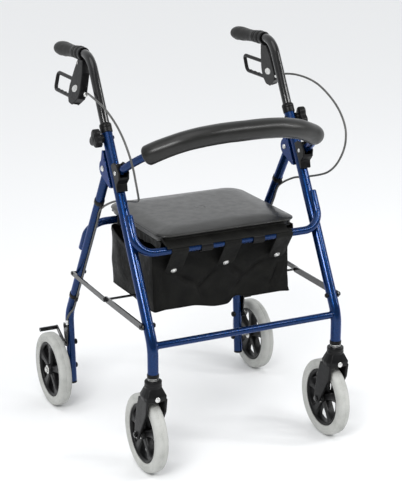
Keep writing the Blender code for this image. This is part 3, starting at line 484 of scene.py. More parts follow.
def material(slot):
    """The material that goes with a slot of the record, made once by the function of the same name."""
    if slot not in MATERIALS:
        MATERIALS[slot] = globals()[slot]()
    return MATERIALS[slot]


# ---- mesh helpers

def piece(name, bm, slot, body=None, replaces=(), sharp=35):
    """Turns a bmesh into a piece of the slot's material that rides on a body."""
    bmesh.ops.recalc_face_normals(bm, faces=bm.faces)
    mesh = mesh_of(bm, name)
    mesh.shade_smooth()
    mesh.set_sharp_from_angle(angle=math.radians(sharp))
    mesh.materials.append(material(slot))
    obj = linked(name, mesh)
    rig.slot(obj, slot)
    if body:
        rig.ride(obj, body)
    if replaces:
        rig.replaces(obj, *replaces)
    return obj


def stand_in(node, bm, slot, sharp=35):
    """A finer shape in place of a CAD node, on the node's own body."""
    return piece(f"{node}_fine", bm, slot, BODY_OF[node], [node], sharp)


def copy_of(node):
    """A node's own mesh as a bmesh, with its split corners merged and its flat faces whole."""
    bm = bmesh.new()
    bm.from_mesh(frame["nodes"][node].data)
    bmesh.ops.remove_doubles(bm, verts=bm.verts, dist=0.000005)
    bmesh.ops.dissolve_limit(bm, angle_limit=math.radians(1), verts=bm.verts, edges=bm.edges)
    return bm


def crisp(node, slot, width=0.0006):
    """A node's shape with its edges broken, as a cut or stamped part has them."""
    obj = stand_in(node, copy_of(node), slot)
    edge = obj.modifiers.new("edge", "BEVEL")
    edge.width, edge.segments, edge.limit_method, edge.angle_limit = width, 2, "ANGLE", math.radians(32)
    edge.harden_normals = True
    return obj


def moulded(node, slot, extra=(), voxel=0.0012, passes=6):
    """A node's shape as a moulding: extra solids grow out of it and every edge is rounded over."""
    bm = copy_of(node)
    for part in extra:
        mesh = mesh_of(part, "part")
        bm.from_mesh(mesh)
        bpy.data.meshes.remove(mesh)
    obj = stand_in(node, bm, slot, sharp=180)
    skin = obj.modifiers.new("skin", "REMESH")
    skin.mode, skin.voxel_size, skin.use_smooth_shade = "VOXEL", voxel, True
    soften = obj.modifiers.new("soften", "SMOOTH")
    soften.factor, soften.iterations = 0.5, passes
    return obj


def bridge(bm, ring_a, ring_b):
    """Joins two rings of the same number of vertices with a band of faces."""
    count = len(ring_a)
    for i in range(count):
        j = (i + 1) % count
        bm.faces.new((ring_a[i], ring_a[j], ring_b[j], ring_b[i]))


def fan(bm, pole, ring):
    """Joins a ring to one vertex."""
    for i in range(len(ring)):
        bm.faces.new((pole, ring[i], ring[(i + 1) % len(ring)]))


def lofted(rings, closed=False, far_end=None):
    """A closed solid through rings of points. Its ends are flat faces, unless it runs round in a loop or
    the far end is a point."""
    bm = bmesh.new()
    rings = [[bm.verts.new(point) for point in ring] for ring in rings]
    for a, b in zip(rings, rings[1:]):
        bridge(bm, a, b)
    if closed:
        bridge(bm, rings[-1], rings[0])
        return bm
    bm.faces.new(rings[0])
    if far_end:
        fan(bm, bm.verts.new(far_end), rings[-1])
    else:
        bm.faces.new(rings[-1])
    return bm


def rounded_path(corners, radius, steps=12):
    """The corners joined by straight runs, each inner corner replaced by an arc of the radius."""
    corners = [Vector(c) for c in corners]
    path = [corners[0]]
    for before, corner, after in zip(corners, corners[1:], corners[2:]):
        a, b = (before - corner).normalized(), (after - corner).normalized()
        half = a.angle(b) / 2
        start = corner + a * (radius / math.tan(half))
        middle = corner + (a + b).normalized() * (radius / math.sin(half))
        spoke = start - middle
        axis = spoke.cross(corner - middle).normalized()
        turn = math.pi - 2 * half
        path += [middle + Matrix.Rotation(turn * i / steps, 3, axis) @ spoke for i in range(steps + 1)]
    return path + [corners[-1]]


def smooth_route(points, spacing):
    """Evenly spaced points on a Catmull-Rom curve through the given points."""
    points = [Vector(p) for p in points]
    ends = [points[0] * 2 - points[1], *points, points[-1] * 2 - points[-2]]
    fine = []
    for a, b, c, d in zip(ends, ends[1:], ends[2:], ends[3:]):
        for i in range(12):
            t = i / 12
            fine.append(0.5 * (2 * b + (c - a) * t + (2 * a - 5 * b + 4 * c - d) * t**2
                               + (3 * b - a - 3 * c + d) * t**3))
    return evenly([*fine, points[-1]], spacing)


def evenly(line, spacing):
    """The same line with its points the same distance apart."""
    lengths = [0.0]
    for a, b in zip(line, line[1:]):
        lengths.append(lengths[-1] + (b - a).length)
    count = max(round(lengths[-1] / spacing), 1)
    route, k = [], 0
    for i in range(count + 1):
        target = lengths[-1] * i / count
        while k < len(line) - 2 and lengths[k + 1] < target:
            k += 1
        share = (target - lengths[k]) / max(lengths[k + 1] - lengths[k], 1e-9)
        route.append(line[k].lerp(line[k + 1], min(share, 1.0)))
    return route


def sweep(path, section, sides=28, closed=False, start_normal=X_AXIS):
    """A closed solid along a path. section(i, turn) gives how far from point i the surface lies along the
    carried normal and across it."""
    if abs((path[1] - path[0]).normalized().dot(start_normal)) > 0.95:
        start_normal = Z_AXIS
    count, rings, normal = len(path), [], start_normal
    for i, point in enumerate(path):
        before = path[i - 1] if i or closed else path[0]
        after = path[(i + 1) % count] if i + 1 < count or closed else path[-1]
        tangent = (after - before).normalized()
        normal = (normal - normal.dot(tangent) * tangent).normalized()
        side = tangent.cross(normal)
        offsets = [section(i, 2 * math.pi * (k + 0.5) / sides) for k in range(sides)]
        rings.append([point + normal * along + side * across for along, across in offsets])
    return lofted(rings, closed)


def disc(radius):
    """The round section of a radius."""
    return lambda i, turn: (radius * math.cos(turn), radius * math.sin(turn))


def flat_oval(wide, thick):
    """The section of a flat strip with round edges: wide along the carried normal."""
    def section(i, turn):
        c, d = math.cos(turn), math.sin(turn)
        return wide / 2 * math.copysign(abs(c) ** 0.5, c), thick / 2 * math.copysign(abs(d) ** 0.5, d)

    return section


def rod(path, radius, lip=0.0015, sides=28, section=None):
    """A round bar with its ends rounded over by lip. section(angle) scales it away from round."""
    path = [Vector(p) for p in path]
    shape = section or (lambda turn: 1.0)
    ends = []
    for tip, inward in ((path[0], path[1] - path[0]), (path[-1], path[-2] - path[-1])):
        inward.normalize()
        ends.append([(tip + inward * lip * (1 - math.sin(t)), radius - lip * (1 - math.cos(t)))
                     for t in (math.pi / 2 * i / 4 for i in range(5))])
    stations = ends[0][::-1] + [(point, radius) for point in path[1:-1]] + ends[1]

    def offset(i, turn):
        reach = stations[i][1] * shape(turn)
        return reach * math.cos(turn), reach * math.sin(turn)

    return sweep([p for p, _ in stations], offset, sides)


def turned(profile, middle, axis, sides=40):
    """A solid turned about an axis. The profile's (radius, height) points run pole to pole where both ends
    have radius 0, and otherwise round a closed ring."""
    bm = bmesh.new()
    axis, middle = Vector(axis).normalized(), Vector(middle)
    across = (X_AXIS if abs(axis.x) < 0.9 else Z_AXIS).cross(axis).normalized()
    other = axis.cross(across)
    turns = [2 * math.pi * (k + 0.5) / sides for k in range(sides)]
    spokes = [across * math.cos(t) + other * math.sin(t) for t in turns]
    rings = []
    for radius, height in profile:
        foot = middle + axis * height
        rings.append([bm.verts.new(foot + radius * spoke) for spoke in (spokes if radius else spokes[:1])])
    pairs = list(zip(rings, rings[1:]))
    if len(rings[0]) > 1:
        pairs.append((rings[-1], rings[0]))
    for a, b in pairs:
        if len(a) == 1:
            fan(bm, a[0], b)
        elif len(b) == 1:
            fan(bm, b[0], a)
        else:
            bridge(bm, a, b)
    return bm


def extruded(outline, x_low, x_high):
    """A flat outline of (y, z) points with its thickness along X."""
    return lofted([[(x, y, z) for y, z in outline] for x in (x_low, x_high)])


def arc(middle, radius, start, end, steps):
    """Points of an arc in the (y, z) plane, with angles in degrees from +Y towards +Z."""
    angles = [math.radians(start + (end - start) * i / steps) for i in range(steps + 1)]
    return [(middle[0] + radius * math.cos(a), middle[1] + radius * math.sin(a)) for a in angles]


def around(radius, *steps):
    """Points of a turned profile. Each step is in millimetres: out from the radius, then along the axis."""
    return [(radius + out / 1000, along / 1000) for out, along in steps]


def union(first, *others):
    """One closed solid out of several that overlap."""
    objects = []
    for bm in (first, *others):
        bmesh.ops.recalc_face_normals(bm, faces=bm.faces)
        objects.append(linked("part", mesh_of(bm, "part")))
    for other in objects[1:]:
        join = objects[0].modifiers.new("join", "BOOLEAN")
        join.operation, join.solver, join.object = "UNION", "EXACT", other
    graph = bpy.context.evaluated_depsgraph_get()
    result = bmesh.new()
    result.from_mesh(bpy.data.meshes.new_from_object(objects[0].evaluated_get(graph)))
    for obj in objects:
        bpy.data.objects.remove(obj)
    return result


def rivet(name, place, axis, radius, body, slot="zinc_steel", height=0.0022):
    """A domed head with a flat washer edge, standing on place and facing along axis."""
    dome = [(radius * math.cos(t), height * (0.35 + 0.65 * math.sin(t)))
            for t in (math.pi / 2 * i / 6 for i in range(6))]
    profile = [(0, -0.0004), (radius, -0.0004), *dome, (0, height)]
    return piece(name, turned(profile, place, axis, 24), slot, body)


def hexagon(name, place, axis, radius, height, body, slot="zinc_steel"):
    """A chamfered hexagon nut or bolt head that stands on place."""
    profile = [(0, 0), (radius * 0.93, 0), (radius, height * 0.12), (radius, height * 0.88),
               (radius * 0.90, height), (radius * 0.45, height), (radius * 0.40, height + 0.0014),
               (0, height + 0.0016)]
    return piece(name, turned(profile, place, axis, 6), slot, body, sharp=20)


# ---- lines of the two frames

FRONT_UP = Vector((0, FRONT_SLOPE, 1)).normalized()
FRONT_NORMAL = Vector((0, -FRONT_UP.z, FRONT_UP.y))
REAR_UP = Vector((0, HINGE.y - REAR_BEND_Y, HINGE.z - REAR_BEND_Z)).normalized()
REAR_NORMAL = Vector((0, REAR_UP.z, -REAR_UP.y))


def front_axis(x, z):
    return Vector((x, STEM_Y + FRONT_SLOPE * (z - FRONT_BEND_Z), z))


def rear_axis(x, z):
    return Vector((x, REAR_BEND_Y + REAR_UP.y / REAR_UP.z * (z - REAR_BEND_Z), z))


def grip_axis(x, y):
    corner = front_axis(x, CORNER_Z)
    return Vector((x, y, CORNER_Z - (y - corner.y) * math.tan(GRIP_DROP)))


def lean(s):
    """The turn that leans a brake's parts outward about its clamp."""
    hinge = grip_axis(s * LEG_X, CLAMP_START)
    turn = Matrix.Rotation(-s * HOUSING_LEAN, 4, Y_AXIS)
    return Matrix.Translation(hinge) @ turn @ Matrix.Translation(-hinge)


# ---- frame tubes and their welds

def weld(name, line, radius, body):
    """A rippled bead along a line."""
    line = evenly([Vector(p) for p in line], 0.0008)
    last = len(line) - 1

    def section(i, turn):
        taper = min(1.0, 0.45 + 0.25 * min(i, last - i))
        reach = radius * taper * (1 + 0.10 * math.sin(2 * math.pi * i / 3.2))
        return reach * math.cos(turn), reach * math.sin(turn)

    return piece(name, sweep(line, section, 8), "blue_paint", body, sharp=180)


def front_leg(side, s, x):
    corners = [(x, STEM_Y, FRONT_FOOT_Z), (x, STEM_Y, FRONT_BEND_Z), front_axis(x, FRONT_TOP_Z)]
    stand_in(f"front_leg_{side}", rod(rounded_path(corners, LEG_BEND, 16), FRONT_R, 0.0010, 36), "blue_paint")
    foot = around(FRONT_R, (-2, -1.2), (0.9, -1.2), (1.3, 0.8), (1.3, 7), (0.6, 8), (-2, 8))
    piece(f"leg_foot_ring_{side}", turned(foot, (x, STEM_Y, FRONT_FOOT_Z), Z_AXIS), "black_plastic", "front")
    start = front_axis(x, FRONT_TOP_Z) + FRONT_UP * 0.0003
    inner, outer = HANDLE_R + 0.0003, FRONT_R + 0.0018
    outside = around(outer, (-0.4, 0), (0, 0.6), (0, 7.2), (-0.7, 8.4), (-1.6, 10), (-2.4, 10.8))
    collar = [(inner, 0), *outside, *around(inner, (0.3, 11), (0, 10.6))]
    stand_in(f"height_collar_{side}", turned(collar, start, FRONT_UP), "black_plastic")
    skirt = around(FRONT_R, (-1, -12.5), (1, -12), (1.6, -10), (1.6, -0.3), (-1, -0.3))
    piece(f"collar_skirt_{side}", turned(skirt, start, FRONT_UP), "black_plastic", "front")


def cross_tube():
    end = LEG_X - FRONT_R + 0.002
    path = [Vector((x, CROSS.y, CROSS.z)) for x in (-end, end)]
    stand_in("front_cross_tube", rod(path, CROSS_R, 0.0004, 32), "blue_paint")
    lie = Vector((0, FRONT_SLOPE / 2, 1)).normalized()
    for side, s in SIDES.items():
        line = []
        for k in range(41):
            turn = 2 * math.pi * k / 40
            off = Vector((0, math.cos(turn), math.sin(turn))) * (CROSS_R + 0.0004)
            away = off.y * lie.z - off.z * lie.y
            reach = math.sqrt(FRONT_R**2 - min(away**2, (FRONT_R * 0.9) ** 2))
            line.append(Vector((s * (LEG_X - reach), CROSS.y, CROSS.z)) + off)
        weld(f"cross_weld_{side}", line, 0.0016, "front")


def seat_tubes():
    """The front U and the rear arch, whose arms are welded along the legs. Returns the arch's own y."""
    for name, axis, normal, leg_r, end_z in (
            ("front", front_axis, FRONT_NORMAL, FRONT_R, FRONT_SEAT_TOP_Z),
            ("rear", rear_axis, REAR_NORMAL, REAR_R, REAR_SEAT_END_Z)):
        lift = normal * (leg_r + SEAT_TUBE_R + 0.0003)
        arms = [[axis(x, z - lift.z) + lift for z in (end_z, SEAT_AXIS.z)] for x in (-LEG_X, LEG_X)]
        path = rounded_path([*arms[0], *reversed(arms[1])], SEAT_TUBE_BEND, 14)
        stand_in(f"{name}_seat_tube", rod(path, SEAT_TUBE_R, 0.0030, 32), "blue_paint")
        for side, s in SIDES.items():
            tip, bend = arms[0 if s < 0 else 1]
            along = (bend - tip).normalized()
            for edge, hand in (("inner", -s), ("outer", s)):
                foot = tip - normal * (SEAT_TUBE_R - 0.0012) + X_AXIS * hand * 0.0052
                line = [foot + along * 0.004, foot + along * 0.030]
                weld(f"{name}_seat_weld_{edge}_{side}", line, 0.0017, name)
    return arms[0][1].y


def rear_leg(side, s, x):
    bend, foot = Vector((x, REAR_BEND_Y, REAR_BEND_Z)), Vector((x, REAR_FOOT_Y, REAR_FOOT_Z))
    path = rounded_path([rear_axis(x, HINGE.z + 0.012), bend, foot], 0.080, 14)
    stand_in(f"rear_leg_{side}", rod(path, REAR_R, 0.0016, 36), "blue_paint")
    plug = [(0, -0.004), *around(REAR_R, (-2, -4), (-0.5, 0), (0.4, 0.6), (0.4, 3), (-1.6, 4.8)), (0, 0.0052)]
    piece(f"rear_leg_plug_{side}", turned(plug, foot, foot - bend), "black_plastic", "rear")
    cap = around(0, (0, -3), (7.2, -3), (7.4, 1), (7, 3.4), (5.6, 5.2), (3, 6.2), (0, 6.4))
    for spot, place in (("brake", PIVOT[f"brake_{side}_press"]), ("axle", PIVOT[f"rear_wheel_{side}_spin"])):
        inner = Vector((s * (LEG_X - REAR_R), place.y, place.z))
        piece(f"bolt_cap_{spot}_{side}", turned(cap, inner, (-s, 0, 0), 28), "black_plastic", "rear")


def hinge(side, s, x):
    crisp(f"hinge_bracket_{side}", "blue_paint", 0.0009)
    half = REAR_R + 0.0035
    head = around(0, (0, 3.8), (3, 3.6), (5.6, 2.4), (6.5, 0.6), (6.5, 0), (4, 0))
    nut = around(0, (4, 0), (7.2, 0), (7.2, 0.7), (6, 1.6), (4.8, 3.4), (2, 4), (0, 4))
    pin = [(radius, -half - out) for radius, out in head] + [(radius, half + out) for radius, out in nut]
    stand_in(f"hinge_pin_{side}", turned(pin, (x, HINGE.y, HINGE.z), (s, 0, 0), 32), "zinc_steel")
    bracket_bolt = front_axis(x, 0.716) - FRONT_NORMAL * 0.0190
    for face, hand in (("outer", s), ("inner", -s)):
        spot = bracket_bolt + X_AXIS * hand * (REAR_R + 0.0032)
        rivet(f"hinge_rivet_{face}_{side}", spot, (hand, 0, 0), 0.0034, "front", "blue_paint", 0.0014)


# ---- handles and hand brakes

def handle_tube(side, s, x):
    corners = [front_axis(x, HANDLE_FOOT_Z), front_axis(x, CORNER_Z), grip_axis(x, GRIP_END - 0.014)]
    path = rounded_path(corners, HANDLE_BEND, 16)
    stand_in(f"handle_tube_{side}", rod(path, HANDLE_R, 0.0008, 36), "black_paint")


# Along a hand grip, in millimetres: the distance, its half width, half height and the rise of its middle.
GRIP_STATIONS = (
    (0, 14.6, 14.6, 0), (1.2, 15.8, 15.8, 0), (6, 16.7, 16.7, 0), (12, 16.8, 16.8, 0), (15, 16.2, 16.2, 0),
    (16, 14.8, 14.8, 0), (20, 14.6, 14.8, 0), (21.2, 15.8, 15.8, 0), (24.8, 15.8, 15.8, 0),
    (26, 14.4, 14.6, 0), (29.2, 14.4, 14.6, 0), (30.4, 15.3, 15.4, 0), (33.6, 15.3, 15.4, 0),
    (34.8, 14.2, 14.5, 0), (48, 14.4, 14.6, 0), (64, 15.4, 15.1, 0.1), (80, 17.1, 16, 0.3),
    (95, 18.9, 17, 0.6), (110, 20.2, 17.8, 0.9), (122, 20.4, 17.8, 1), (131, 19.6, 17, 1),
    (137.5, 17.6, 15, 0.9), (141.5, 14.4, 12.2, 0.8), (143.6, 10, 8.4, 0.8),
)


def hand_grip(side, s, x):
    """A palm grip: a flared collar, a ribbed waist and a full heel, with a flatter top for the palm."""
    start = grip_axis(x, GRIP_START)
    along = (grip_axis(x, GRIP_END) - start).normalized()
    up = Vector((0, -along.z, along.y))
    rings, sides = [], 48
    for station in GRIP_STATIONS:
        distance, wide, high, rise = (value / 1000 for value in station)
        middle = start + along * distance + up * rise
        full = min(max((distance - 0.045) / 0.05, 0), 1)
        ring = []
        for k in range(sides):
            turn = 2 * math.pi * k / sides
            finger = 0.0006 * full * math.cos(distance * 2 * math.pi / 0.024) * max(-math.sin(turn), 0)
            flat = 1 - 0.05 * full * max(math.sin(turn), 0) ** 3
            reach = (high + finger) * flat
            ring.append(middle + X_AXIS * wide * math.cos(turn) + up * reach * math.sin(turn))
        rings.append(ring)
    tip = start + along * 0.1443 + up * 0.0008
    stand_in(f"hand_grip_{side}", lofted(rings, far_end=tip), "grip_rubber", sharp=50)


def brake_housing(side, s, x):
    body, turn = f"handle_{side}", lean(s)
    chin_outline = [(0.0900, 0.8105), (0.1190, 0.8105), (0.1200, 0.8168), (0.0860, 0.8168)]
    chin = extruded(chin_outline, x - 0.0075, x + 0.0075)
    chin.transform(turn)
    moulded(f"brake_housing_{side}", "black_plastic", [chin], voxel=0.0010, passes=9)
    badge = around(0, (0, 0), (10.5, 0), (10.8, 0.6), (10, 1.2), (8.8, 1.2), (8.4, 0.9), (0, 1))
    for face, hand in (("outer", s), ("inner", -s)):
        spot = Matrix.Translation(turn @ Vector((x + hand * 0.0094, 0.0950, 0.8475)))
        bm = turned(badge, (0, 0, 0), (hand, 0, 0), 40)
        bm.transform(Matrix.Diagonal((1.2, 1.40, 0.78, 1)))
        bm.transform(spot @ turn.to_3x3().to_4x4() @ Matrix.Rotation(-0.30, 4, X_AXIS))
        piece(f"brake_disc_{face}_{side}", bm, "zinc_steel", body)
    clamp = grip_axis(x, (CLAMP_START + CLAMP_END) / 2)
    bolt = turn @ (clamp - Z_AXIS * 0.0215)
    hexagon(f"clamp_screw_{side}", bolt + X_AXIS * s * 0.0085, X_AXIS * s, 0.0042, 0.0030, body)


def lever_loop(side, s, x):
    """The squared loop, with small finger bumps inside its lower run."""
    middle = Vector((x, (LOOP_FRONT + LOOP_REAR) / 2, LOOP_LOW))
    ends = ((LOOP_REAR, LOOP_LOW), (LOOP_REAR, LOOP_HIGH), (LOOP_FRONT, LOOP_HIGH), (LOOP_FRONT, LOOP_LOW))
    corners = [(x, y, z) for y, z in ends]
    line = evenly(rounded_path([middle, *corners, middle], 0.010, 8), 0.0022)[:-1]

    def section(i, turn):
        point = line[i]
        inside = LOOP_FRONT + 0.035 < point.y < LOOP_REAR - 0.018 and point.z < (LOOP_LOW + LOOP_HIGH) / 2
        swell = 0.0012 * max(math.cos(2 * math.pi * (point.y - LOOP_FRONT) / 0.022), 0) if inside else 0.0
        reach = LEVER_R + swell * max(-math.sin(turn), 0)
        return reach * math.cos(turn), reach * math.sin(turn)

    bm = sweep(line, section, 18, closed=True)
    bm.transform(lean(s))
    stand_in(f"brake_lever_{side}", bm, "black_plastic", sharp=180)


def knob(side, s, x):
    """A three-lobed knob with domed edges, a hub and an insert."""
    node, body, place = f"height_knob_{side}", f"knob_{side}", PIVOT[f"knob_{side}_turn"]
    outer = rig.box(node)[1 if s > 0 else 0].x
    rings, sides = [], 96
    for depth, scale in ((0.000, 0.90), (0.0008, 0.965), (0.0024, 1.0), (0.0140, 1.0), (0.0158, 0.965),
                         (0.0168, 0.90), (0.0170, 0.80)):
        ring = []
        for k in range(sides):
            turn = 2 * math.pi * k / sides
            reach = KNOB_R * (0.80 + 0.20 * math.cos(3 * turn)) - KNOB_R * (1 - scale)
            ring.append((outer - s * (0.017 - depth), place.y + reach * math.sin(turn),
                         place.z + reach * math.cos(turn)))
        rings.append(ring)
    stand_in(node, lofted(rings), "black_plastic", sharp=40)
    base = s * (LEG_X + FRONT_R + 0.0008)
    boss = around(0, (0, 0), (10.5, 0), (10.5, 1.5), (8.8, 2.2), (8.8, 10.5), (0, 10.5))
    piece(f"knob_boss_{side}", turned(boss, (base, place.y, place.z), (s, 0, 0)), "black_plastic", body)
    plug = around(0, (0, -1), (6.2, -1), (6.2, 0.4), (5.2, 0.7), (0, 0.7))
    insert = turned(plug, (outer, place.y, place.z), (s, 0, 0), 28)
    piece(f"knob_insert_{side}", insert, "black_plastic", body)
    nub = Vector((s * (LEG_X - FRONT_R + 0.0006), place.y, place.z))
    rivet(f"leg_nub_{side}", nub, (-s, 0, 0), 0.0048, "front", "black_plastic", 0.0036)


# ---- brake cables

# From the lever housing, forward in a free bow, back past the front leg and down the rear leg.
UPPER_ROUTE = {
    "left": [(0.2570, 0.0580, 0.8420), (0.2640, 0.0300, 0.8510), (0.2730, -0.0100, 0.8550),
             (0.2790, -0.0600, 0.8530), (0.2800, -0.1100, 0.8450), (0.2800, -0.1650, 0.8250),
             (0.2800, -0.2050, 0.8000), (0.2790, -0.2320, 0.7680), (0.2750, -0.2410, 0.7350),
             (0.2700, -0.2350, 0.7050), (0.2660, -0.2150, 0.6750), (0.2640, -0.1850, 0.6520),
             (0.2630, -0.1500, 0.6370), (0.2625, -0.1100, 0.6240), (0.2620, -0.0700, 0.6120),
             (0.2560, -0.0280, 0.6000)],
    "right": [(-0.2570, 0.0580, 0.8420), (-0.2640, 0.0300, 0.8510), (-0.2730, -0.0100, 0.8550),
              (-0.2790, -0.0600, 0.8530), (-0.2800, -0.1100, 0.8450), (-0.2800, -0.1650, 0.8250),
              (-0.2790, -0.2050, 0.8000), (-0.2760, -0.2320, 0.7680), (-0.2700, -0.2410, 0.7350),
              (-0.2620, -0.2350, 0.7050), (-0.2500, -0.2180, 0.6750), (-0.2350, -0.1900, 0.6480),
              (-0.2240, -0.1550, 0.6320), (-0.2210, -0.1150, 0.6220), (-0.2220, -0.0750, 0.6120),
              (-0.2300, -0.0300, 0.6000)],
}
LEG_ROUTE_Z = (0.580, 0.540, 0.480, 0.420, 0.360, 0.310, 0.270)
CLIP_Z = (0.590, 0.300)


def brake_cable(side, s, x):
    """The cable in two lengths that meet at the bow's foot, so that it bends with the handle and the fold."""
    off = -REAR_NORMAL * (REAR_R + CABLE_R + 0.0020)
    down = [rear_axis(x, z) + off for z in LEG_ROUTE_Z]
    end = [(s * 0.2490, 0.2170, 0.2440), (s * 0.2549, 0.2225, 0.2280), (s * 0.2549, 0.2240, 0.2150)]
    route = smooth_route([*UPPER_ROUTE[side], *down, *end], 0.0050)
    foot = min(range(len(route)), key=lambda i: route[i].y)
    upper = piece(f"cable_upper_{side}", rod(route[:foot + 2], CABLE_R, 0.0003, 14), "cable_sleeve", sharp=60)
    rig.blend(upper, f"handle_{side}", "front", start=route[0], end=UPPER_ROUTE[side][4])
    lower = piece(f"cable_lower_{side}", rod(route[foot - 1:], CABLE_R, 0.0003, 14), "cable_sleeve", sharp=60,
                  replaces=[f"brake_cable_{side}"])
    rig.blend(lower, "front", "rear", start=(0, -0.150, 0.630), end=(0, -0.020, 0.600))
    barrel = around(0, (0, -6), (4.6, -6), (4.6, 0), (5.2, 0.4), (5.2, 5.2), (4.6, 5.6), (3.6, 6), (3.6, 13),
                    (3, 14.2), (0, 14.2))
    adjuster = turned(barrel, route[0], route[4] - route[0], 20)
    piece(f"cable_adjuster_{side}", adjuster, "zinc_steel", f"handle_{side}", sharp=25)
    stop = around(0, (0, -2), (3.4, -2), (3.4, 9), (2.9, 10.5), (0, 10.5))
    piece(f"cable_ferrule_{side}", turned(stop, route[-1], route[-3] - route[-1], 20), "zinc_steel", "rear")
    for number, z in enumerate(CLIP_Z):
        cable_clip(f"cable_clip_{number}_{side}", rear_axis(x, z), off)


def cable_clip(name, place, off):
    """A black strap round the leg with a saddle for the cable."""
    band = around(REAR_R, (-0.4, -6), (1, -6), (1.4, -5.4), (1.4, 5.4), (1, 6), (-0.4, 6))
    saddle = around(0, (0, -6.6), (4, -6.6), (4.6, -5.6), (4.6, 5.6), (4, 6.6), (0, 6.6))
    both = union(turned(band, place, REAR_UP), turned(saddle, place + off, REAR_UP, 24))
    piece(name, both, "black_plastic", "rear")


# ---- backrest

def backrest_route():
    """The bow's axis: straight out of each bracket, then one smooth bend across the front."""
    half = []
    for share in (0.0, 0.12, 0.28, 0.62, 1.0):
        point = Vector((LEG_X, BACK_PIVOT.y, BACK_PIVOT.z)).lerp(BACK_END, share)
        point.x = LEG_X + (BACK_END.x - LEG_X) * (max(share - 0.28, 0) / 0.72) ** 1.5
        half.append(point)
    for across in (0.190, 0.150, 0.100, 0.050, 0.0):
        ease = (across / BACK_END.x) ** BACK_POWER
        half.append(Vector((across, *(mid + (end - mid) * ease for mid, end in zip(BACK_MID, BACK_END.yz)))))
    return half + [Vector((-p.x, p.y, p.z)) for p in reversed(half[:-1])]


def backrest():
    route = smooth_route(backrest_route(), 0.008)
    stand_in("backrest_tube", rod(route, SEAT_TUBE_R, 0.0020, 28), "blue_paint")
    covered = [p for p in route if abs(p.x) < BACK_END.x + 0.004]
    foam = rod(covered, FOAM_R, 0.0055, 44, lambda turn: 1 + 0.010 * math.cos(2 * turn))
    for vertex in foam.verts:
        vertex.co += vertex.co.normalized() * 0.0006 * noise.noise(vertex.co * 28)
    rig.padded(stand_in("backrest_pad", foam, "backrest_foam", sharp=60), fill=0.95)
    for side, s in SIDES.items():
        moulded(f"backrest_bracket_{side}", "black_plastic", voxel=0.0010, passes=4)
        for face, hand in (("outer", s), ("inner", -s)):
            spot = Vector((s * LEG_X + hand * 0.0133, BACK_PIVOT.y, BACK_PIVOT.z))
            rivet(f"backrest_pivot_{face}_{side}", spot, (hand, 0, 0), 0.0052, "front")
        tail = front_axis(s * LEG_X, 0.644) + FRONT_NORMAL * (FRONT_R + 0.0035)
        rivet(f"backrest_screw_{side}", tail, FRONT_NORMAL, 0.0038, "front", "black_paint")


# ---- seat

def plan_outline(half_x, front, rear, front_radius, rear_radius, spacing):
    """Points round a rounded rectangle in plan, from the front left corner, evenly spaced."""
    corners = ((half_x, front, front_radius, -90), (half_x, rear, rear_radius, 0),
               (-half_x, rear, rear_radius, 90), (-half_x, front, front_radius, 180))
    line = []
    for x, y, radius, start in corners:
        middle = (x - math.copysign(radius, x), y - math.copysign(radius, y - (front + rear) / 2))
        line += [Vector((px, py, 0)) for px, py in arc(middle, radius, start, start + 90, 10)]
    return evenly([*line, line[0]], spacing)[:-1]


def inset(outline, amount):
    """The outline moved inward by amount."""
    count = len(outline)
    moved = []
    for i, point in enumerate(outline):
        along = (outline[(i + 1) % count] - outline[i - 1]).normalized()
        moved.append(point + Vector((-along.y, along.x, 0)) * amount)
    return moved


def stacked(outlines, heights):
    """A closed solid through a stack of outlines of the same length."""
    return lofted([[(p.x, p.y, z) for p in line] for line, z in zip(outlines, heights)])


def inflate(bm, pinned, frames, pressure, cap):
    """Lets a mesh swell as cloth with some points pinned, moving none by more than cap."""
    obj = linked("cloth", mesh_of(bm, "cloth"))
    before = [v.co.copy() for v in obj.data.vertices]
    group = obj.vertex_groups.new(name="pinned")
    group.add([i for i, co in enumerate(before) if pinned(co)], 1.0, "REPLACE")
    cloth = obj.modifiers.new("cloth", "CLOTH")
    settings = cloth.settings
    settings.quality, settings.mass, settings.air_damping = 6, 0.15, 2.0
    settings.tension_stiffness = settings.compression_stiffness = 15
    settings.shear_stiffness, settings.bending_stiffness = 5, 0.4
    settings.vertex_group_mass = "pinned"
    settings.effector_weights.gravity = 0.0
    settings.use_pressure, settings.uniform_pressure_force = True, pressure
    cloth.collision_settings.use_collision = False
    for number in range(1, frames + 1):
        bpy.context.scene.frame_set(number)
    graph = bpy.context.evaluated_depsgraph_get()
    result = bpy.data.meshes.new_from_object(obj.evaluated_get(graph))
    for vertex, start in zip(result.vertices, before):
        move = vertex.co - start
        if move.length > cap:
            vertex.co = start + move * (cap / move.length)
    bpy.data.objects.remove(obj)
    bpy.context.scene.frame_set(1)
    swollen = bmesh.new()
    swollen.from_mesh(result)
    return swollen


